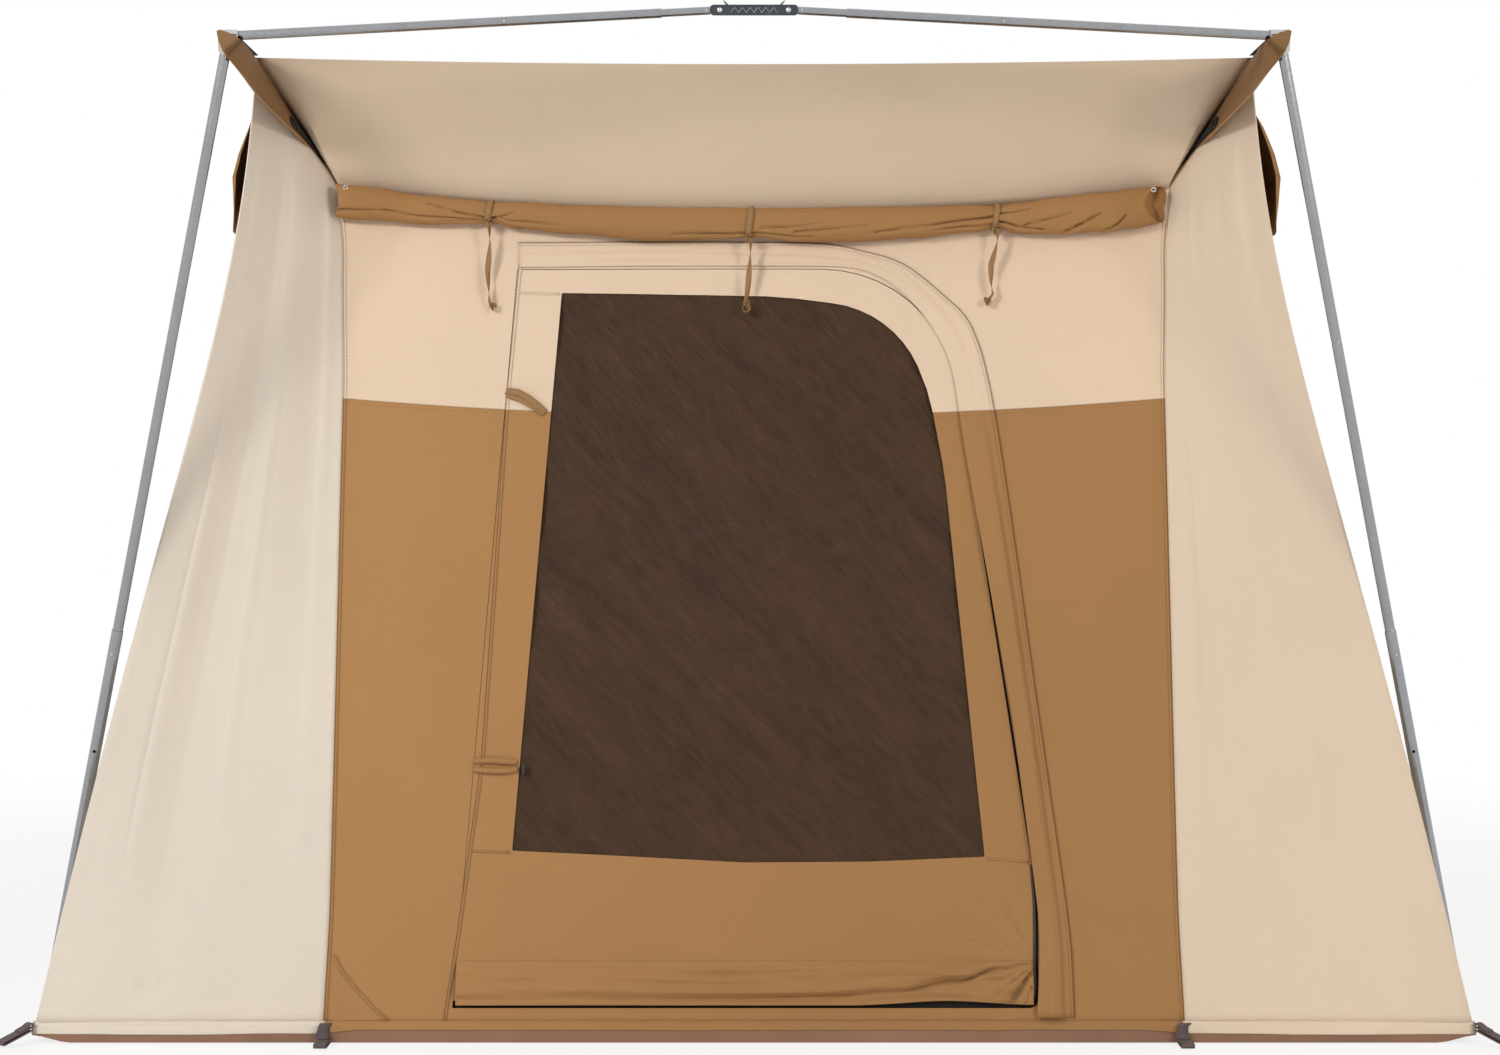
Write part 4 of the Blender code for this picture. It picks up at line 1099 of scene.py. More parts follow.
print("canvas body sewn")

# %% [markdown]
# ## The door leaf and the nettings
#
# The door leaf is cut from the same leaning grid as the wall, so its wrinkles run on into the
# wall round it. The netting is sewn behind the leaf and the windows. It hangs a little loose
# and pulls into slanting folds from the upper left to the lower right.

# %% Door leaf and nettings
PULL_X = 0.600
PULL_Z = 0.165


def pull_fold(x, z):
    """Folds of the door that fan out from its lower corner, where the zip pulls."""
    away = Vector((PULL_X - x, z - PULL_Z))
    bearing = math.atan2(away.y, away.x)
    fan = 0.6 - 1.9 * abs(drift(bearing * 2.6, away.length * 1.2, 111.0))
    broad = ridge(0.9 * x + 2.2 * z, 1.1 * x - 0.6 * z, 113.0, 1.5)
    low_part = 0.0045 * broad * smooth((0.36 - z) / 0.08) * smooth((x + 0.2) / 0.4)
    return 0.0110 * fan * smooth(away.length / 0.05) * math.exp(-away.length / 0.20) + low_part


def door_surface(x, z, proud=0.0):
    """The door's cloth: the wall's waves and the folds of the pulled corner."""
    return end_point(-1, x, z, wall_wave(x, z, END_SEED[-1]) + pull_fold(x, z) + proud)


def door_place(u, v):
    """Grid function of the rectangle the door leaf is cut from."""
    return door_surface(lerp(DOOR_LOW[0], DOOR_HIGH[0], u), lerp(DOOR_LOW[1], DOOR_HIGH[1], v))


def slack_fold(x, z, seed):
    """Folds of loose netting that run from the upper left to the lower right, in metres."""
    bend = 0.10 * drift(x * 1.3, z * 1.3, seed + 5)
    across = SLANT[0] * x + SLANT[1] * z + bend
    along = SLANT[1] * x - SLANT[0] * z
    broad = ridge(across * 6.0, along * 1.1, seed, 1.5)
    narrow = ridge(across * 14.0, along * 3.4, seed + 2)
    web = ridge(across * 9.0 - along * 6.0, along * 14.0, seed + 3)
    return 0.009 * broad + 0.0038 * narrow + 0.0020 * web


NET_BEHIND = 0.009
NET_OVERLAP = 0.008
NET_CLOTH = 0.0006
NET_EDGE = -0.003
NET_NEAREST = -0.002
DOOR_LOW = (-0.66, 0.06)
DOOR_HIGH = (0.64, 1.68)
door_size = (DOOR_HIGH[0] - DOOR_LOW[0], math.hypot(1, PANEL_LEAN) * (DOOR_HIGH[1] - DOOR_LOW[1]))
door_leaf = grid_sheet("door_leaf_canvas", 130, 150, door_place, door_size, end_canvas, "door")
cut(door_leaf, wall_cutter(front_plane, grown(DOOR_OUTLINE, -ZIP_GAP)), "INTERSECT")
cut(door_leaf, wall_cutter(front_plane, DOOR_WINDOW))


def box_of(outline, margin):
    """Low and high corners of an outline, with a margin."""
    xs = [point.x for point in outline]
    zs = [point.y for point in outline]
    return (min(xs) - margin, min(zs) - margin), (max(xs) + margin, max(zs) + margin)


def netting_sheet(name, outline, plane, seed, surface=None, body="canvas"):
    """Netting behind a window of a plane or of its waved surface, a little larger than it."""
    low, high = box_of(outline, NET_OVERLAP + 0.01)

    def place(u, v):
        a = lerp(low[0], high[0], u)
        b = lerp(low[1], high[1], v)
        calm = smooth(min(u, 1 - u) / 0.06) * smooth(min(v, 1 - v) / 0.06)
        loose = lerp(NET_EDGE, slack_fold(a, b, seed) - NET_BEHIND, calm)
        return (surface or plane)(a, b, min(loose, NET_NEAREST))
    size = (high[0] - low[0], high[1] - low[1])
    sheet = grid_sheet(name, 160, 170, place, size, netting, body, NET_CLOTH, 70)
    return cut(sheet, wall_cutter(plane, grown(outline, NET_OVERLAP)), "INTERSECT")


door_net = netting_sheet("door_netting", DOOR_WINDOW, front_plane, 41.0, door_surface, "door")
rear_net = netting_sheet("rear_netting", REAR_WINDOW, rear_plane, 43.0)
side_nets = {across: netting_sheet(f"side_netting_{across}", SIDE_WINDOW, side_plane[sign],
                                   45.0 + sign) for sign, across in SIDES}
print("door and nettings cut")

# %% [markdown]
# ## The floor tub
#
# The floor is one coated sheet whose edge is turned up as a low rim. The rim isn't stiff, so
# it leans out and in by a few millimetres along its length. The sheet starts as a grid, and
# its border is pulled up in four steps.

# %% Floor tub
TUB_STEPS = 4
RIM_SWAY = 0.0035
TUB_SHEET = 0.0012
TUB_FOOT = 0.0014


def rim_sway(x, y):
    """How far the rim leans out at a place along it, with a few short wrinkles."""
    broad = drift(x * 2.6 + y * 2.1, x * 0.7 - y * 1.3, 51.0)
    short = drift(x * 15.0, y * 15.0, 52.0) * smooth(drift(x * 2.0, y * 2.0, 54.0) * 3.0)
    return RIM_SWAY * (0.8 * broad + 0.9 * short)


def corner_lift(x, y):
    """The stake loops lift the floor's corners."""
    return 0.016 * (1 - smooth(math.hypot(HALF - abs(x), HALF - abs(y)) / 0.085))


bm = bmesh.new()
bmesh.ops.create_grid(bm, x_segments=150, y_segments=150, size=HALF - RIM_SWAY)
for vert in bm.verts:
    inside = smooth((HALF - max(abs(vert.co.x), abs(vert.co.y))) / 0.2)
    vert.co.z = TUB_FOOT + 0.0016 * inside * (1 + drift(vert.co.x * 1.3, vert.co.y * 1.3, 53.0))
    vert.co.z += corner_lift(vert.co.x, vert.co.y)
for step in range(TUB_STEPS):
    border = [edge for edge in bm.edges if edge.is_boundary]
    raised = bmesh.ops.extrude_edge_only(bm, edges=border)["geom"]
    for vert in [item for item in raised if isinstance(item, bmesh.types.BMVert)]:
        out = Vector((math.copysign(abs(vert.co.x) > HALF - 0.02, vert.co.x),
                      math.copysign(abs(vert.co.y) > HALF - 0.02, vert.co.y), 0))
        sway = rim_sway(vert.co.x, vert.co.y) * (step + 1) / TUB_STEPS
        vert.co += out * (sway - rim_sway(vert.co.x, vert.co.y) * step / TUB_STEPS)
        foot = TUB_FOOT + corner_lift(vert.co.x, vert.co.y)
        vert.co.z = lerp(foot, RIM, (step + 1) / TUB_STEPS)
flat = bm.loops.layers.uv.new("flat")
for face in bm.faces:
    for loop in face.loops:
        loop[flat].uv = (loop.vert.co.x + loop.vert.co.z, loop.vert.co.y + loop.vert.co.z)
bmesh.ops.recalc_face_normals(bm, faces=bm.faces)
tub = thicken(new_piece("tub", bm, tub_sheet), TUB_SHEET, 0)
print("tub rim", round(RIM, 3), "m high")

# %% [markdown]
# ## The rolled awnings
#
# Each end wall has an awning, rolled up below the brow. It is one long cloth, wound seven and
# a half times, so the open end of the roll shows a spiral. Three tapes pinch the roll and it
# sags between them. Creases run into it from the tapes.

# %% Awning rolls
ROLL_HALF = 0.915
ROLL_TURNS = 7.5
ROLL_CORE = 0.16
ROLL_OFF = 1.12
ROLL_ROWS = [
    (-0.915, 1.810, 0.079), (-0.870, 1.806, 0.080), (-0.718, 1.790, 0.067), (-0.640, 1.787, 0.058),
    (-0.587, 1.787, 0.046), (-0.526, 1.778, 0.061), (-0.402, 1.768, 0.068), (-0.215, 1.758, 0.080),
    (-0.060, 1.760, 0.074), (-0.009, 1.762, 0.066), (0.100, 1.756, 0.080), (0.229, 1.757, 0.082),
    (0.359, 1.762, 0.074), (0.489, 1.771, 0.062), (0.537, 1.775, 0.052), (0.593, 1.771, 0.074),
    (0.670, 1.776, 0.086), (0.781, 1.785, 0.090), (0.859, 1.793, 0.092), (0.915, 1.802, 0.086)]


def roll_section(x):
    """Centre height and half sizes of the roll at x."""
    centre, tall = along_rows(ROLL_ROWS, x)
    return centre, tall / 2, 0.012 + tall * 0.20


def roll_middle(sign, x):
    """Middle of the roll at x, clear of the wall."""
    centre, _, deep = roll_section(x)
    return end_point(sign, x, centre) + Vector((0, sign * deep * ROLL_OFF, 0))


TIE_X = (-0.587, -0.009, 0.537)
CREASES = [
    ((-0.592, -0.7), (-0.722, 0.5), 0.30), ((-0.592, -0.8), (-0.820, -0.4), 0.24),
    ((-0.592, -1.0), (-0.700, -0.9), 0.22), ((-0.582, -0.8), (-0.530, 0.3), 0.22),
    ((-0.582, -0.8), (-0.515, -1.3), 0.32), ((-0.582, -0.6), (-0.430, -0.5), 0.18),
    ((-0.016, -0.9), (-0.180, -0.7), 0.20), ((-0.002, -0.9), (0.130, -0.8), 0.20),
    ((0.020, -0.4), (0.150, 0.1), 0.16), ((0.090, -0.5), (0.250, -0.1), 0.16),
    ((0.532, 0.0), (0.270, -0.6), 0.32), ((0.532, -0.8), (0.380, -0.6), 0.24),
    ((0.545, 0.3), (0.610, 0.6), 0.20), ((0.545, -0.5), (0.640, -0.9), 0.32),
    ((0.690, -1.1), (0.765, -0.1), 0.26), ((0.780, -1.2), (0.850, -0.4), 0.24),
    ((0.600, -0.5), (0.700, 0.1), 0.18), ((-0.910, -0.6), (-0.780, -0.3), 0.16)]
CREASE_WIDE = 0.13
ROLL_ROUND = 0.045


def crease_depth(x, turn):
    """How far the creases that leave the ties press into the roll, as a share of its size."""
    here = Vector((x / ROLL_ROUND, (turn + math.pi) % (2 * math.pi) - math.pi))
    total = 0.0
    for (x0, turn0), (x1, turn1), depth in CREASES:
        if not min(x0, x1) - 0.03 < x < max(x0, x1) + 0.03:
            continue
        start = Vector((x0 / ROLL_ROUND, turn0))
        way = Vector((x1 / ROLL_ROUND, turn1)) - start
        along = clamp((here - start).dot(way) / way.length_squared)
        away = (here - start - way * along).length
        swell = 0.3 * math.exp(-(away / (3.0 * CREASE_WIDE)) ** 2)
        total += 1.5 * depth * (math.exp(-(away / CREASE_WIDE) ** 2) - swell) * (1 - 0.7 * along)
    return total


def roll_place(sign):
    """Grid function of the rolled cloth: u along the roll, v along the spiral."""
    def place(u, v):
        x = lerp(-ROLL_HALF, ROLL_HALF, u)
        centre, tall, deep = roll_section(x)
        turn = 2 * math.pi * ROLL_TURNS * v + 0.4 * drift(x * 3.0, v, 61.0)
        reach = lerp(ROLL_CORE, 1.0, v)
        bump = 1 + 0.045 * drift(x * 9.0, math.cos(turn), 63.0 + sign)
        bump += 0.03 * drift(x * 26.0, 0.0, 67.0) - crease_depth(x, turn) * smooth((v - 0.3) / 0.2)
        height = centre + tall * reach * math.sin(turn) * bump
        base = end_point(sign, x, centre)
        depth = sign * (deep * ROLL_OFF + deep * reach * math.cos(turn) * bump)
        slant = 0.35 * (height - centre) * smooth((abs(x) - 0.84) / 0.07)
        front = (1 + reach * math.cos(turn)) / 2
        open_end = 0.052 * front * smooth((x * -sign - 0.78) / 0.13)
        ragged = 0.004 * drift(turn * 0.7, x, 65.0) * smooth((abs(x) - 0.88) / 0.03)
        return Vector((x + math.copysign(slant + ragged, x) + sign * open_end,
                       base.y + depth, height))
    return place


def spiral_length():
    """Mean length of the rolled cloth."""
    total = 0.0
    steps = 400
    for k in range(steps):
        reach = lerp(ROLL_CORE, 1.0, (k + 0.5) / steps)
        tall, deep = 0.033 * reach, 0.025 * reach
        total += math.pi * (3 * (tall + deep) - math.sqrt((3 * tall + deep) * (tall + 3 * deep)))
    return total * ROLL_TURNS / steps


ROLL_CLOTH = spiral_length()


def roll_outward(sign):
    """Direction away from the middle of the roll."""
    return lambda point: point - roll_middle(sign, clamp(point.x, -ROLL_HALF, ROLL_HALF))


OUTER_TURN = 1 / ROLL_TURNS
OUTER_ROWS = 0.42
AWNING_CLOTH = 0.0009
SOFT_ANGLE = 60


def roll_spacing(v):
    """Finer rows on the outermost turn, which is the one that shows."""
    if v > 1 - OUTER_ROWS:
        return 1 - OUTER_TURN * (1 - v) / OUTER_ROWS
    return (1 - OUTER_TURN) * v / (1 - OUTER_ROWS)


rolls = {end: grid_sheet(f"{end}_awning_roll", 300, 150, roll_place(sign),
                         (2 * ROLL_HALF, ROLL_CLOTH), brown_canvas, thickness=AWNING_CLOTH,
                         angle=SOFT_ANGLE, spacing=roll_spacing, outward=roll_outward(sign))
         for sign, end in ENDS}
print("awning cloth", round(ROLL_CLOTH, 2), "m long, wound", ROLL_TURNS, "times")

# %% [markdown]
# ## The side awnings
#
# The side awnings are folded, not rolled. The cloth goes down along the wall, up again and
# down once more, and the outer layer bulges. The ends of the layers are drawn in towards the
# wall, and a dark gap is left between two of them.

# %% Folded side awnings
SIDE_HALF = 1.172
FOLD_TUCK = 0.060
FOLD_ROWS = [
    (0.0000, 2.026, 0.004), (0.1500, 1.900, 0.005), (0.3000, 1.765, 0.005), (0.3350, 1.748, 0.009),
    (0.3700, 1.765, 0.011), (0.4800, 1.860, 0.018), (0.5900, 1.970, 0.014), (0.6500, 2.050, 0.008),
    (0.6750, 2.078, 0.008), (0.7000, 2.050, 0.014), (0.7600, 1.985, 0.028), (0.8200, 1.925, 0.038),
    (0.8700, 1.873, 0.041), (0.9300, 1.815, 0.030), (1.0000, 1.745, 0.014)]


def fold_place(sign):
    """Grid function of a side awning: u along the wall, v down the folded cloth."""
    def place(u, v):
        y = lerp(-SIDE_HALF, SIDE_HALF, u)
        z, out = along_rows(FOLD_ROWS, v)
        sway = smooth((v - 0.66) / 0.1)
        out += 0.008 * sway * drift(y * 4.0, z * 4.0, 71.0 + sign) * smooth((2.07 - z) / 0.08)
        swing = 0.006 * drift(y * 3.0, v * 2.0, 73.0 + sign)
        z += swing * smooth(v / 0.2) * smooth((2.07 - z) / 0.1)
        out *= 1 + 0.38 * smooth((abs(y) - 0.70) / 0.35)
        out *= lerp(0.64, 1.0, smooth((SIDE_HALF - abs(y)) / FOLD_TUCK))
        loose = smooth((v - 0.45) / 0.2)
        x = lerp(side_half(y, z), HALF - SIDE_LEAN * z, loose) + max(out, 0.003)
        return Vector((sign * x, y, z))
    return place


def fold_length():
    """Length of the folded cloth from its top seam to its free edge."""
    points = [Vector(along_rows(FOLD_ROWS, k / 300)) for k in range(301)]
    return sum((b - a).length for a, b in zip(points, points[1:]))


FOLD_CLOTH = fold_length()
side_awnings = {across: grid_sheet(
    f"side_awning_fold_{across}", 190, 90, fold_place(sign), (2 * SIDE_HALF, FOLD_CLOTH),
    brown_canvas, thickness=AWNING_CLOTH, angle=SOFT_ANGLE,
    outward=lambda point, sign=sign: Vector((-sign, 0, 0))) for sign, across in SIDES}
print("side awning cloth", round(FOLD_CLOTH, 2), "m deep")

# %% [markdown]
# ## Corner gussets
#
# At each corner of the roof a long triangle of canvas reaches out to the steel hub and carries
# the roof. Its free edge is bound with a lighter tape.

# %% Gussets
HUB_AHEAD = 0.120
HUB_PLACE = (1.085, HALF + HUB_AHEAD, ROOF_TOP)
GUSSET_OFF = 0.004
GUSSET_SIZE = (0.22, 0.32)
HUB_FRONT = 0.0166


def gusset_rows(sign_x, sign_y):
    """Low and high points of the gusset, from its tip over the hub to the brow's end seam."""
    hub = Vector((sign_x * HUB_PLACE[0], sign_y * HUB_PLACE[1], HUB_PLACE[2]))
    corner = Vector((sign_x * ROOF_HALF, sign_y * ROOF_EDGE, ROOF_TOP))
    tip = end_point(sign_y, sign_x * TIP_X, TIP_Z)
    off = Vector((sign_x, sign_y, 0.5)).normalized() * GUSSET_OFF

    def by_hub(x, y, z):
        return hub + Vector((sign_x * x, sign_y * y, z))
    return [
        (by_hub(0.0210, HUB_FRONT, 0.007), by_hub(0.0140, HUB_FRONT, 0.010)),
        (by_hub(0.0150, HUB_FRONT, -0.018), by_hub(-0.012, HUB_FRONT, 0.000)),
        (by_hub(-0.0020, HUB_FRONT, -0.046), by_hub(-0.030, HUB_FRONT - 0.004, -0.012)),
        (tip + off, corner + off)]


GUSSET_SHARES = (0.0, 0.06, 0.16, 1.0)


def gusset_point(sign_x, sign_y, reach, rise, off=0.0):
    """Point of the gusset: reach from the hub to the brow, rise from its low to its high edge."""
    rows = gusset_rows(sign_x, sign_y)
    low, high = (eased([(share, row[edge]) for share, row in zip(GUSSET_SHARES, rows)], reach)
                 for edge in (0, 1))
    normal = (rows[3][1] - rows[1][0]).cross(rows[3][0] - rows[1][0]).normalized()
    normal *= sign_x * -sign_y
    taut = smooth((reach - 0.16) / 0.25)
    slack = 0.010 * math.sin(math.pi * reach) * math.sin(math.pi * rise) * taut
    ripple = 0.003 * drift(reach * 3.0, rise * 2.0, 81.0 + sign_x + 3 * sign_y) * taut
    calm = math.sin(math.pi * clamp(reach))
    bow = Vector((0, 0, -0.010)) * calm * (1 - rise) * taut
    return lerp(low, high, rise) + bow + normal * (ripple * calm - slack + off)


gussets = {}
for sign_x, sign_y, end, across in CORNERS:
    gussets[end, across] = grid_sheet(
        f"{end}_gusset_cloth_{across}", 50, 16,
        lambda u, v, x=sign_x, y=sign_y: gusset_point(x, y, u ** 1.4, v), GUSSET_SIZE,
        dark_canvas, outward=lambda point, way=Vector((sign_x, sign_y, 0)): way)
print("gussets:", len(gussets))

# %% [markdown]
# ## Stake loops
#
# A loop of dark webbing lies on the ground at each corner and at the foot of both door panel
# seams. Each is one band, folded back on itself.

# %% Stake loops
LOOP_LONG = 0.075
LOOP_WIDE = 0.027
LOOP_TALL = 0.012
LOOP_WEB = 0.0022
LOOP_RISE = 0.026


def loop_band(name, x, y, heading, rise=0.0):
    """One band that goes out along its heading, turns over and comes back; rise lifts its root."""
    radius = LOOP_TALL / 2 - LOOP_WEB / 2
    straight = LOOP_LONG - 2 * radius
    ring = [Vector((0.0, radius * 0.9)), Vector((straight * 0.5, radius * 1.0))]
    for k in range(9):
        turn = math.pi / 2 - math.pi * k / 8
        ring.append(Vector((straight + radius * math.cos(turn), radius * math.sin(turn))))
    ring += [Vector((straight * 0.5, -radius)), Vector((0.0, -radius * 0.9))]
    at, total = walk(ring)
    forward = Vector((math.cos(heading), math.sin(heading), 0))
    aside = Vector((-forward.y, forward.x, 0))

    def place(u, v):
        point = at(u)
        lift = LOOP_TALL / 2 + rise * (1 - point.x / LOOP_LONG)
        base = Vector((x, y, lift)) + forward * (0.002 + point.x)
        return base + aside * (v - 0.5) * LOOP_WIDE + Vector((0, 0, point.y))

    middle = Vector((x, y, LOOP_TALL / 2)) + forward * LOOP_LONG / 2
    return grid_sheet(name, 26, 4, place, (total, LOOP_WIDE), webbing, thickness=LOOP_WEB,
                      outward=lambda point: point - middle), total


loops = {}
for sign_x, across in SIDES:
    for sign_y, end in ENDS:
        heading = math.atan2(sign_y, sign_x)
        loops[f"stake_loop_{end}_{across}"] = loop_band(
            f"{end}_loop_{across}", sign_x * HALF, sign_y * HALF, heading, LOOP_RISE)
    loops[f"stake_loop_door_{across}"] = loop_band(
        f"door_loop_{across}", sign_x * PANEL_HALF, -HALF, -math.pi / 2)
print("stake loops:", len(loops))

# %% [markdown]
# ## Seams and tapes
#
# Every seam of the body is felled: one edge is folded over the other and stitched down twice,
# which leaves a flat strip about 8 mm wide. The strips below follow a path over a wall and
# stand a millimetre proud of it. The dictionary called sewn keeps which cloth each belongs to.

# %% Strips along a path
sewn = {}


def sew(piece, host, slot):
    """Note that a piece is sewn on a host and give it its own mesh; slot is not used."""
    sewn.setdefault(host.name, []).append(piece)
    sag_with_frame(piece)
    return piece


BAND_STEP = 0.02


def surface_band(name, path, width, surface, finish, proud=0.0007, closed=False, body="canvas",
                 thick=0.0006):
    """Strip of cloth that follows a path of (a, b) points over a wall."""
    at, total = walk(path, closed)
    columns = max(2, round(total / BAND_STEP))
    nudge = 0.5 / columns

    def place(u, v):
        behind = at((u - nudge) % 1 if closed else max(u - nudge, 0))
        ahead = at((u + nudge) % 1 if closed else min(u + nudge, 1))
        heading = (ahead - behind).normalized()
        spot = at(u) + Vector((-heading.y, heading.x)) * (v - 0.5) * width
        return surface(spot.x, spot.y, proud)
    return grid_sheet(name, columns, 2, place, (total, width), finish, body, thick, SOFT_ANGLE,
                      closed)


front_surface = partial(end_surface, -1)


def vectors(pairs):
    """Plain pairs as points of a path."""
    return [Vector(pair) for pair in pairs]


# %% Panel seams, window borders and door seams
TAPE_OUT = 0.010


def seam_path(sign):
    """Path of the panel seam, half a strip inside it."""
    heights = [FOOT + 0.002 + (TIP_Z - FOOT - 0.035) * k / 40 for k in range(41)]
    return vectors((sign * (seam_x(z) - SEAM_WIDTH / 2 - 0.0015), z) for z in heights)


for sign, across in SIDES:
    path = seam_path(sign)
    if sign > 0:
        path.reverse()
    for sign_y, end in ENDS:
        sew(surface_band(f"{end}_seam_{across}", path, SEAM_WIDTH, partial(end_surface, sign_y),
                         seam_tape), end_walls[end], "tan_canvas")
    sew(surface_band(f"side_window_tape_{across}", grown(SIDE_WINDOW, TAPE_OUT), TAPE_WIDTH,
                     partial(side_surface, sign), tan_tape, closed=True),
        side_walls[across], "cream_canvas")
sew(surface_band("rear_window_tape", grown(REAR_WINDOW, TAPE_OUT), TAPE_WIDTH,
                 partial(end_surface, 1), door_tape, closed=True), rear_wall, "tan_canvas")
HINGE_PATH = vectors([(-0.652, 0.046), (-0.6475, 0.079), (-0.626, 0.227), (-0.582, 0.586),
                      (-0.5415, 1.365), (-0.518, 1.672)])
sew(surface_band("door_hinge_seam", HINGE_PATH, SEAM_WIDTH, front_surface, seam_tape, 0.0009),
    front_wall, "tan_canvas")
for name, path in (("door_seam_low_left", [(-0.520, 0.393), (-0.604, 0.396)]),
                   ("door_seam_low_right", [(0.586, 0.373), (0.496, 0.380)]),
                   ("door_seam_high", [(-0.430, 1.604), (-0.527, 1.606)])):
    sew(surface_band(name, vectors(path), 0.006, door_surface, seam_tape, 0.0006,
                     body="door", thick=0.0005), door_leaf, "tan_canvas")
print("seams sewn:", sum(len(pieces) for pieces in sewn.values()))

# %% [markdown]
# The walls' lower edges lap over the outside of the rim and are sewn to it, so only the lower
# part of the tub shows. The lap is wider at the corner wedges. Each is a narrow strip with a
# wavy lower edge.

# %% Laps over the rim
LAP_ROWS = [(0.0, 0.027), (0.80, 0.028), (0.93, 0.021), (1.20, 0.018), (1.525, 0.019)]
LAP_TOP = RIM + 0.006
LAP_OFF = 0.0018
LAP_END = HALF - 0.004


def lap_strip(name, low, high, upright, outward_sign, lean, finish, host, slot, columns):
    """Strip that goes down over the rim; upright says which axis the wall faces."""
    def place(u, v):
        along = lerp(low, high, u)
        foot = along_rows(LAP_ROWS, abs(along))[0] + 0.0015 * drift(along * 9.0, outward_sign, 55.0)
        ground = HALF - RIM_SWAY
        spot = (along, outward_sign * ground) if upright == "y" else (outward_sign * ground, along)
        rim = ground + rim_sway(*spot) + LAP_OFF
        z = lerp(foot, LAP_TOP, v)
        over = smooth((z - RIM + 0.002) / (LAP_TOP - RIM + 0.002))
        reach = outward_sign * lerp(rim + 0.0008 * (1 - v), HALF - lean * LAP_TOP + 0.0006, over)
        return Vector((along, reach, z) if upright == "y" else (reach, along, z))
    strip = grid_sheet(name, columns, 10, place, (high - low, LAP_TOP - 0.02), finish,
                       thickness=AWNING_CLOTH, angle=SOFT_ANGLE)
    return sew(strip, host, slot)


for sign, end in ENDS:
    lap_strip(f"{end}_lap", -PANEL_HALF, PANEL_HALF, "y", sign, PANEL_LEAN, end_canvas,
              end_walls[end], "brown_canvas", 120)
    for side, across in SIDES:
        ends = sorted((side * PANEL_HALF, side * LAP_END))
        lap_strip(f"{end}_wedge_lap_{across}", *ends, "y", sign, PANEL_LEAN, side_canvas[side],
                  side_walls[across], "cream_canvas", 50)
for side, across in SIDES:
    lap_strip(f"side_lap_{across}", -LAP_END, LAP_END, "x", side, SIDE_LEAN,
              side_canvas[side], side_walls[across], "cream_canvas", 200)
print("laps over the rim: 8")

# %% [markdown]
# The storm flap covers the zip along the top and the right of the door. Its outer edge is
# sewn to the wall and its inner edge is loose, so it lifts a little and casts a shadow on the
# zip. Below it the coil of the zip runs along the door's edge, and the loose hem at the
# door's foot has dropped into long folds.

# %% Storm flap, zip and door hem
FLAP_INNER = vectors([
    (-0.520, 1.664), (-0.300, 1.666), (0.000, 1.666), (0.180, 1.665), (0.240, 1.658),
    (0.300, 1.630), (0.353, 1.582), (0.405, 1.512), (0.437, 1.432), (0.459, 1.277), (0.550, 0.713),
    (0.573, 0.523), (0.601, 0.281), (0.604, 0.200), (0.600, 0.110), (0.596, 0.052)])
FLAP_OUTER = vectors([
    (-0.524, 1.716), (-0.300, 1.717), (0.000, 1.716), (0.160, 1.713), (0.242, 1.697),
    (0.331, 1.668), (0.432, 1.586), (0.471, 1.544), (0.507, 1.440), (0.545, 1.204), (0.606, 0.713),
    (0.630, 0.523), (0.657, 0.308), (0.668, 0.200), (0.671, 0.110), (0.672, 0.052)])
FLAP_STEPS = 90
FLAP_WIDE = 0.064
FLAP_CLOTH = 0.0010
FLAP_INNER, FLAP_OUTER = (smoothed(path, FLAP_STEPS) for path in (FLAP_INNER, FLAP_OUTER))
FLAP_PROFILE = [(0.0, 0.005), (0.25, 0.010), (0.50, 0.014), (0.62, 0.012), (0.80, 0.0015),
                (1.0, 0.001)]


def flap_place(u, v):
    """Grid function of the storm flap: u along it, v from its loose to its sewn edge."""
    place = u * (len(FLAP_INNER) - 1)
    k = min(int(place), len(FLAP_INNER) - 2)
    inner = lerp(FLAP_INNER[k], FLAP_INNER[k + 1], place - k)
    outer = lerp(FLAP_OUTER[k], FLAP_OUTER[k + 1], place - k)
    spot = lerp(inner, outer, v)
    loose = (1 - v) * (0.003 + 0.003 * drift(u * 11.0, v, 91.0) * smooth(u / 0.1))
    folds = 0.0030 * drift(v * 4.0, u * 9.0, 93.0) * math.sin(math.pi * v)
    hill = along_rows(FLAP_PROFILE, v)[0] * smooth((u - 0.42) / 0.2)
    return front_surface(spot.x, spot.y, 0.0022 + max(loose + folds + hill, 0.0))


flap_length = walk(FLAP_OUTER)[1]
storm_flap = grid_sheet("storm_flap", 150, 26, flap_place, (flap_length, FLAP_WIDE),
                        end_canvas, thickness=FLAP_CLOTH, angle=SOFT_ANGLE)
sew(surface_band("storm_flap_stitching", FLAP_OUTER, 0.009, front_surface, seam_tape, 0.0034),
    front_wall, "tan_canvas")

ZIP_PITCH = 0.0024
zip_finish = Finish("zip_coil", (0.035, 0.024, 0.016), 0.45)
along_zip = zip_finish.axes(zip_finish.place(source="UV"))[0]
teeth = (along_zip * (2 * math.pi / ZIP_PITCH)).sine() * 0.5 + 0.5
zip_finish.colour(zip_finish.blend(teeth, (0.020, 0.014, 0.010), (0.060, 0.042, 0.030)))
zip_finish.relief(teeth * 0.0006)
ZIP_PATH = [point for point in grown(DOOR_OUTLINE, -0.002)
            if point.x > 0.0 and 0.095 < point.y < 1.30]
ZIP_PATH.sort(key=lambda point: math.atan2(point.y - 0.9, point.x - 0.1))
sew(surface_band("door_zip", ZIP_PATH, 0.007, door_surface, zip_finish, 0.0010, body="door",
                 thick=0.0012), door_leaf, "brown_canvas")


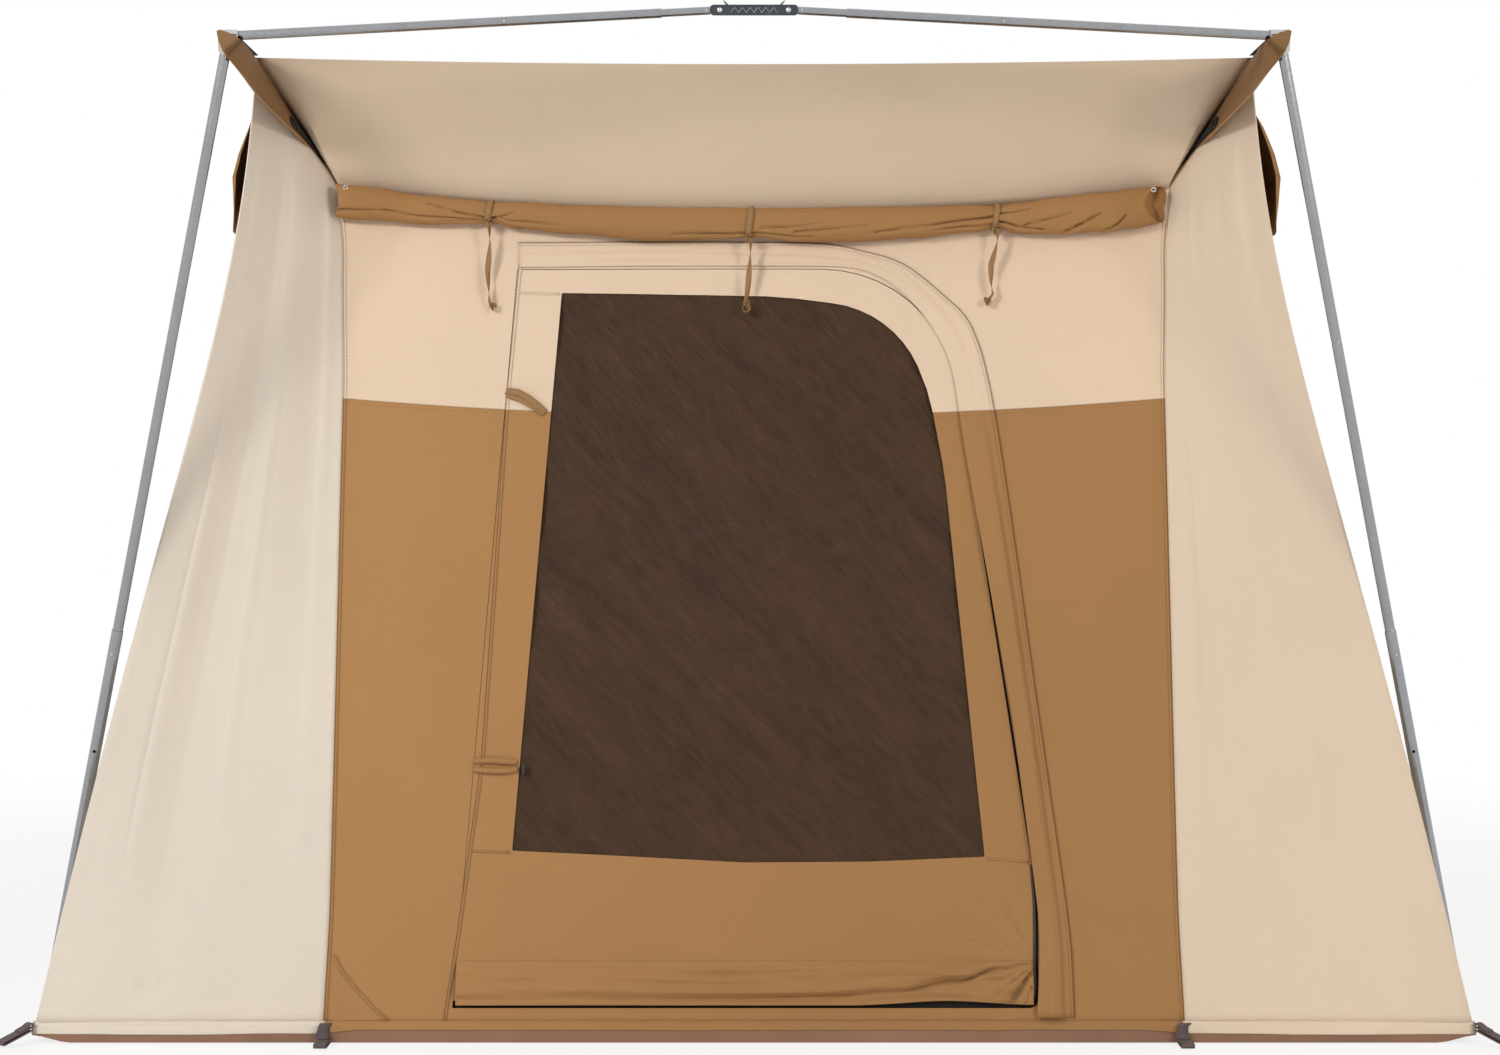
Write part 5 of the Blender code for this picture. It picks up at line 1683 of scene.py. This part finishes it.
HEM_FOLD = [(-0.640, 0.090), (0.000, 0.090), (0.139, 0.095), (0.293, 0.104), (0.426, 0.126),
            (0.527, 0.154), (0.600, 0.172)]
HEM_SIZE = (1.224, 0.100)


def hem_place(u, v):
    """Grid function of the loose hem at the door's foot, with one deep fold along it."""
    x = lerp(-0.630, 0.590, u)
    rise = 0.009 * math.exp(-((u - 0.85) / 0.10) ** 2) + 0.003 * drift(x * 3.0, 0.0, 95.0)
    z = lerp(0.0770 + max(rise, 0.0), 0.168, v)
    slope = v * 3.6 + 0.9 * drift(x * 1.2, 3.0, 96.0)
    long_folds = 0.012 * ridge(x * 1.5 + 4.0, slope, 97.0)
    fine = 0.003 * drift(x * 8.0, v * 7.0 - x * 3.0, 99.0)
    above = z - along_rows(HEM_FOLD, x)[0]
    strength = 0.35 + 0.65 * smooth((x + 0.3) / 0.5)
    slow = 1 if above < 0.016 else 0.25
    deep = strength * (0.013 * math.exp(-((above - 0.016) / 0.011) ** 2 * slow)
                       - 0.007 * math.exp(-(above / 0.005) ** 2))
    held = smooth((1 - v) * 3.5) * (0.55 + 0.45 * smooth(v * 4.0))
    return door_surface(x, z, 0.0016 + max((0.007 + 0.5 * long_folds + fine + deep) * held, 0.0))


door_hem = grid_sheet("door_hem", 190, 56, hem_place, HEM_SIZE, end_canvas, "door",
                      FLAP_CLOTH, SOFT_ANGLE)
# Painted shadow: a near-black strip set behind the wall along the zip and the door's foot stands in
# for the shade inside the tent, seen through the gap.
gap_finish = Finish("inside_shadow", (0.012, 0.009, 0.007), 0.9)
gap_finish.colour(gap_finish.blend(gap_finish.cloud(gap_finish.place(), 40.0),
                                   (0.010, 0.008, 0.006), (0.020, 0.015, 0.011)))
GAP_SHADOW_PATH = vectors([(-0.640, 0.084), (0.560, 0.084), (0.585, 0.088), (0.600, 0.110), (0.602, 0.330),
                   (0.568, 0.620), (0.462, 1.280), (0.430, 1.450)])
sew(surface_band("zip_gap_shadow", GAP_SHADOW_PATH, 0.045, front_surface, gap_finish, -0.009), front_wall,
    "brown_canvas")
print("storm flap", round(flap_length, 2), "m long")

# %% [markdown]
# ## Ties of the rolled awning
#
# Three narrow tapes go round the roll. Each is knotted below it, and one end hangs down with
# a small knot at its tip. A ribbon is a narrow grid along a path of points, and it may twist.

# %% Ribbons and ties
TIE_WIDTH = 0.0125
KNOT = 0.0105
TIP_KNOT = 0.0080


def ribbon(name, path, width, aside, finish, body="canvas", thick=0.0010, columns=60,
           closed=False):
    """Free band of cloth along a path; aside(u) is the direction of its width."""
    at, total = walk(path, closed)

    def place(u, v):
        return at(u) + aside(u).normalized() * (v - 0.5) * width
    return grid_sheet(name, columns, 2, place, (total, width), finish, body, thick, SOFT_ANGLE,
                      closed, outward=lambda point: Vector((0, -1, 0)))


def knot_path(centre, size):
    """Path of a small overhand knot."""
    points = []
    for k in range(49):
        turn = 2 * math.pi * k / 48
        points.append(centre + Vector((
            size * (math.sin(turn) + 2 * math.sin(2 * turn)) / 3,
            size * 0.55 * math.sin(3 * turn),
            size * (math.cos(turn) - 2 * math.cos(2 * turn)) / 3)))
    return points


TAILS = {
    "left": [(0.000, 0.0), (0.002, -0.050), (-0.002, -0.110), (0.003, -0.176), (0.010, -0.186)],
    "middle": [(0.002, 0.0), (0.000, -0.055), (-0.004, -0.110), (-0.008, -0.140), (-0.016, -0.158),
               (-0.010, -0.166), (-0.002, -0.158), (-0.006, -0.146)],
    "right": [(0.004, 0.0), (0.000, -0.035), (-0.012, -0.080), (-0.012, -0.120), (-0.008, -0.145),
              (-0.020, -0.160)]}


def knot_twist(u):
    """The band of a knot turns over many times."""
    return Vector((0.4, math.sin(20 * u), math.cos(20 * u)))


def tail_twist(u):
    """A hanging end turns slowly about its length."""
    return Vector((math.cos(4.9 * u + 0.7), math.sin(4.9 * u + 0.7), 0))


for sign, end in ENDS:
    for tie_x, across in zip(TIE_X, TAILS):
        _, tall, deep = roll_section(tie_x)
        middle = roll_middle(sign, tie_x)
        turns = [2 * math.pi * k / 36 for k in range(36)]
        ring = [middle + Vector((0.004 * math.sin(turn), sign * deep * 1.13 * math.cos(turn),
                                 tall * 1.10 * math.sin(turn))) for turn in turns]
        knot = middle + Vector((0, sign * deep * 0.75, -tall * 1.08))
        hang = [knot + Vector((x, sign * (0.004 + 0.010 * math.sin(9 * z) - 0.12 * z), z))
                for x, z in TAILS[across]]
        for piece in (
                ribbon(f"{end}_tie_{across}", ring, TIE_WIDTH, lambda u: Vector((1, 0, 0)),
                       tie_tape, closed=True, columns=48),
                ribbon(f"{end}_tie_knot_{across}", knot_path(knot, KNOT), 0.008, knot_twist,
                       tie_tape, columns=72, thick=0.0016),
                ribbon(f"{end}_tie_tail_{across}", hang, TIE_WIDTH, tail_twist, tie_tape),
                ribbon(f"{end}_tie_tip_{across}", knot_path(hang[-1], TIP_KNOT), 0.007, knot_twist,
                       tie_tape, columns=60, thick=0.0014)):
            sew(piece, rolls[end], "brown_canvas")
print("ties:", 2 * len(TIE_X))

# %% [markdown]
# ## Small fittings on the canvas
#
# Eyelets in the awnings' ends, a ladder-lock buckle with a dark strap on each gusset, the
# black webbing that carries the roof's corner, the webbing that wraps the rim at each stake
# loop, the tie tabs of the door's netting and a corner patch at the foot of the door panel.
# A ring or a dome is a small profile that is spun about its axis.

# %% Eyelets, buckles and straps
def spun(name, profile, steps, centre, facing, body="canvas"):
    """Metal ring or dome: a profile of (out, rise) points spun about its axis."""
    bm = bmesh.new()
    verts = [bm.verts.new((out, 0, rise)) for out, rise in profile]
    edges = [bm.edges.new(pair) for pair in zip(verts, verts[1:])]
    bmesh.ops.spin(bm, geom=verts + edges, cent=(0, 0, 0), axis=(0, 0, 1), angle=2 * math.pi,
                   steps=steps, use_merge=True, use_duplicate=False)
    bmesh.ops.remove_doubles(bm, verts=bm.verts, dist=1e-6)
    turn = Vector((0, 0, 1)).rotation_difference(Vector(facing)).to_matrix().to_4x4()
    bmesh.ops.transform(bm, matrix=Matrix.Translation(centre) @ turn, verts=bm.verts)
    bmesh.ops.recalc_face_normals(bm, faces=bm.faces)
    return new_piece(name, bm, bright_zinc, body)


RING_STEPS = 28


def ring_profile(radius, wire):
    """Closed profile of a rolled ring."""
    turns = [2 * math.pi * k / 10 for k in range(11)]
    return [(radius + wire * math.cos(turn), wire * 0.7 * math.sin(turn)) for turn in turns]


for sign, end in ENDS:
    for side, across in SIDES:
        centre, tall, deep = roll_section(side * 0.895)
        spot = end_point(sign, side * (0.905 - 0.02 * (side * -sign > 0)), centre + tall * 0.80)
        spot += Vector((0, sign * deep * 1.9, 0))
        sew(spun(f"{end}_awning_eyelet_{across}", ring_profile(0.0050, 0.0020), RING_STEPS,
                 spot, (0, sign, 0.5)), rolls[end], "zinc")


def strap(name, start, stop, width, lift, host):
    """Band of black webbing between two places, lifted off the cloth."""
    path = [lerp(start, stop, k / 16) + lift for k in range(17)]
    side = (stop - start).normalized().cross(lift.normalized())
    sew(ribbon(name, path, width, lambda u: side, black_webbing, thick=0.0016, columns=24),
        host, "webbing")


def buckle(name, centre, along, out, host):
    """Ladder-lock: a rounded frame with two slots, its edges bevelled."""
    across = along.cross(out).normalized()

    def put(a, b, depth):
        return centre + across * a + along * b + out * depth
    frame_outline = rounded_outline(box_corners(0.013, -0.017, 0.017, 0.004, 0.003))
    body = outline_cutter(frame_outline, put, 0.0, 0.0042)
    body.name = name
    body.data.name = name
    body.data.materials.append(black_plastic.material)
    for low, high in ((-0.0125, -0.0040), (0.0005, 0.0070)):
        slot = rounded_outline(box_corners(0.0095, low, high, 0.001, 0.001))
        cut(body, outline_cutter(slot, put, -0.01, 0.014))
    round_off = body.modifiers.new("round_off", "BEVEL")
    round_off.width = 0.0008
    round_off.segments = 2
    settle(body)
    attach(body, "canvas")
    sew(body, host, "webbing")


for sign_x, sign_y, end, across in CORNERS:
    cloth = gussets[end, across]
    rows = gusset_rows(sign_x, sign_y)
    tip, corner = rows[3]
    seat = gusset_point(sign_x, sign_y, 0.83, 0.20)
    along = (gusset_point(sign_x, sign_y, 0.90, 0.10) - seat).normalized()
    upward = gusset_point(sign_x, sign_y, 0.83, 0.60) - seat
    out = along.cross(upward).normalized()
    out *= math.copysign(1.0, out.y * sign_y)
    seat += out * 0.003
    buckle(f"{end}_buckle_{across}", seat, along, out, cloth)
    strap(f"{end}_gusset_strap_{across}", seat + along * 0.008, tip + along * 0.006, 0.018,
          out * 0.004, cloth)
    strap(f"{end}_corner_webbing_{across}", rows[1][1] + Vector((0, 0, -0.002)),
          corner + Vector((0, 0, 0.001)), 0.016, Vector((0, 0, 0.003)), cloth)

    edge = [gusset_point(sign_x, sign_y, k / 40, 0.0, 0.0012) for k in range(4, 41)]
    near, far = rows[1][1] - rows[1][0], rows[3][1] - rows[3][0]
    sew(ribbon(f"{end}_gusset_binding_{across}", edge, 0.006,
               lambda u: far * u + near * (1 - u), binding_tape, thick=0.0024, columns=40),
        cloth, "brown_canvas")
print("buckles:", len(gussets))

# %% Rim webbing, netting ties and corner patch
for sign_x, across in SIDES:
    x = sign_x * PANEL_HALF
    wrap = [Vector((x + aside, -HALF - ahead, rise)) for aside, ahead, rise in (
        (0.004, 0.0010, RIM + 0.003), (0.0, 0.0045, RIM - 0.004), (-0.003, 0.0080, RIM * 0.55),
        (-0.006, 0.016, 0.012))]
    sew(ribbon(f"door_loop_wrap_{across}", wrap, LOOP_WIDE,
               lambda u: Vector((1, 0.5 * math.sin(4 * u), 0)), webbing, thick=0.0018,
               columns=20), front_wall, "webbing")

    for sign_y, end in ENDS:
        heading = Vector((sign_x, sign_y, 0)).normalized()
        foot = Vector((sign_x * HALF, sign_y * HALF, 0))
        wrap = [foot + heading * out + Vector((0, 0, RIM + rise)) for out, rise in (
            (-0.004, 0.003), (0.003, 0.003), (0.014, -0.004), (0.030, -0.010))]
        aside = Vector((-heading.y, heading.x, 0))
        sew(ribbon(f"{end}_loop_wrap_{across}", wrap, LOOP_WIDE * 0.9, lambda u: aside, webbing,
                   thick=0.0018, columns=20), side_walls[across], "webbing")


def tab(name, width, finish, lift, points):
    """Short tape that lies on the door's border, tied round a roll of netting when in use."""
    path = [door_surface(x, z, lift + 0.006 * math.sin(math.pi * k / (len(points) - 1)))
            for k, (x, z) in enumerate(points)]
    slope = Vector(points[-1]) - Vector(points[0])
    side = Vector((-slope.y, 0, slope.x))
    sew(ribbon(name, path, width, lambda u: side, finish, "door", 0.0016, 30), door_leaf,
        "brown_canvas")


tab("netting_tie_high", 0.016, tie_tape, 0.003,
    [(-0.545, 1.386), (-0.520, 1.382), (-0.495, 1.368), (-0.475, 1.352), (-0.458, 1.338)])
tab("netting_tie_high_under", 0.010, tie_tape, 0.0015,
    [(-0.545, 1.376), (-0.515, 1.366), (-0.487, 1.350), (-0.462, 1.334)])
tab("netting_tie_low", 0.012, brown_tape, 0.003,
    [(-0.603, 0.584), (-0.570, 0.585), (-0.535, 0.583), (-0.508, 0.581)])
tab("netting_tie_low_under", 0.012, brown_tape, 0.003,
    [(-0.603, 0.566), (-0.570, 0.563), (-0.535, 0.562), (-0.506, 0.566)])

toggle_bm = bmesh.new()
bmesh.ops.create_cone(toggle_bm, cap_ends=True, segments=16, radius1=0.0045, radius2=0.0045,
                      depth=0.022)
bmesh.ops.bevel(toggle_bm, geom=toggle_bm.edges[:], offset=0.0012, segments=2, affect="EDGES",
                profile=0.5, material=-1)
bmesh.ops.translate(toggle_bm, verts=toggle_bm.verts, vec=front_surface(-0.494, 0.566, 0.008))
sew(new_piece("netting_toggle", toggle_bm, black_plastic, "door"), door_leaf, "webbing")

PATCH = vectors([(-0.896, 0.046), (-0.772, 0.046), (-0.800, 0.070), (-0.840, 0.110),
                 (-0.870, 0.145), (-0.889, 0.180)])


def patch_place(u, v):
    """Grid function of the curved corner patch: a fan from the seam to the rim."""
    at, _ = walk(PATCH[1:])
    spot = lerp(PATCH[0], at(u), lerp(0.02, 1.0, v))
    return front_surface(spot.x, spot.y, 0.0010)


sew(grid_sheet("corner_patch", 24, 10, patch_place, (0.18, 0.14), end_canvas,
               thickness=AWNING_CLOTH, angle=SOFT_ANGLE), front_wall, "brown_canvas")
sew(surface_band("corner_patch_stitching", PATCH[1:], 0.008, front_surface, brown_tape, 0.0019),
    front_wall, "brown_canvas")
print("pieces sewn on:", sum(len(pieces) for pieces in sewn.values()))

# %% [markdown]
# ## Fittings of the steel frame
#
# The crown link is stamped with a row of triangles, and each bar has a bright ring where it
# enters the link. The bars' two pivot rivets have bright domed heads. All of them lie in the
# arch's leaning plane.

# %% Link ribs and rings
ARCH_BACK = 0.235
ARCH_LEAN = math.atan((ARCH_BACK + HUB_AHEAD) / ROOF_TOP)
ARCH_FOOT = HALF - ARCH_BACK
CROWN_RISE = 0.052
CROWN = (ROOF_TOP + CROWN_RISE) / math.cos(ARCH_LEAN)
LINK_FACE = 0.01105
RIB = 0.0008
RIB_REACH = 0.0055
RIB_PITCH = 0.008
RIB_WIDE = 0.0022
RING_PAST_PIVOT = 0.028
PIVOT_OUT = 0.0707
RING_OUT = 0.0985
RIVET_DOME = [(0.0, 0.0034), (0.0022, 0.0031), (0.0042, 0.0023), (0.0056, 0.0010),
              (0.0062, -0.0004), (0.0, -0.0004)]


def arch_point(sign, x, rise, out):
    """Point of the arch's plane; out is the distance in front of it."""
    y = ARCH_FOOT + rise * math.sin(ARCH_LEAN) + out * math.cos(ARCH_LEAN)
    z = rise * math.cos(ARCH_LEAN) - out * math.sin(ARCH_LEAN)
    return Vector((-sign * x, sign * y, z))


# Painted highlight: the ribs are stamped in the link's own dark steel, and get a lighter grey copy
# of it.
link_rib_highlight = steel_finish("link_rib_highlight", (0.24, 0.26, 0.28), 0.34, 240.0)
droop = math.atan2(CROWN - HUB_PLACE[2] / math.cos(ARCH_LEAN), HUB_PLACE[0] - PIVOT_OUT)
for sign, end in ENDS:
    zigzag = [arch_point(sign, RIB_PITCH * (k - 6), CROWN + (RIB_REACH if k % 2 else -RIB_REACH),
                         LINK_FACE + RIB * 1.1) for k in range(13)]
    normal = arch_point(sign, 0, CROWN, 1.0) - arch_point(sign, 0, CROWN, 0.0)
    up = arch_point(sign, 0, 1.0, 0.0) - arch_point(sign, 0, 0.0, 0.0)
    ribs = ribbon(f"{end}_link_ribs", zigzag, RIB_WIDE, lambda u: up, link_rib_highlight,
                  f"{end}_link", RIB, 96)
    for side, across in SIDES:
        drop = RING_PAST_PIVOT * math.tan(droop)
        spot = arch_point(sign, side * RING_OUT, CROWN - drop, 0.0)
        ring = spun(f"{end}_bar_ring_{across}", ring_profile(0.0085, 0.0011), RING_STEPS,
                    spot, (1, 0, 0), f"{end}_link")
        spot = arch_point(sign, side * PIVOT_OUT, CROWN, LINK_FACE)
        head = spun(f"{end}_link_rivet_{across}", RIVET_DOME, 24, spot, normal.normalized(),
                    f"{end}_link")
print("link dressed")

# %% [markdown]
# ## Finishes of the steel frame
#
# The tubes, links, hubs, latches and buttons of the frame keep their shape and get the metal
# finishes made above.

# %% Dress the steel
def steel_for(node):
    """Finish of one steel node."""
    if "_link" in node or "_latch" in node:
        return dark_link
    if "_hub" in node or "_button" in node:
        return bright_zinc
    return tube_steel


for node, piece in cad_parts.items():
    if any(word in node for word in ("_link", "_hub", "_latch", "_button", "_bar_", "_leg_")):
        for place in piece.material_slots:
            place.material = steel_for(node).material
print("steel dressed")

# %% [markdown]
# ## What each piece stands for
#
# Each cloth piece takes the place of one plain solid of the frame, which is hidden.

# %% Hide the solids that the cloth replaces
def declare(piece, nodes):
    """Hide the frame nodes that a piece stands for, and give the piece its own mesh.
    """
    if nodes:
        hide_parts(*nodes)
    sag_with_frame(piece)


for end, wall in end_walls.items():
    declare(wall, [f"{end}_panel"])
for _, across in SIDES:
    declare(side_walls[across], [f"side_panel_{across}"])
    declare(side_nets[across], [f"side_mesh_{across}"])
    declare(side_awnings[across], [f"side_awning_{across}"])
    for _, end in ENDS:
        declare(gussets[end, across], [f"{end}_gusset_{across}"])
declare(roof, ["roof_canopy"])
declare(door_leaf, ["door_leaf"])
declare(door_net, ["door_mesh"])
declare(rear_net, ["rear_mesh"])
declare(tub, ["floor_tub"])
declare(storm_flap, [])
declare(door_hem, [])
for end, roll in rolls.items():
    declare(roll, [f"{end}_awning"])
for node, (band, length) in loops.items():
    declare(band, [node])

# %% Write the sizes and finish
dressed_box = [list(corner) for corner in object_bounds()]
for name, corners in (("frame", cad_box), ("dressed", dressed_box)):
    low, high = corners
    print(name, [round(b - a, 3) for a, b in zip(low, high)])
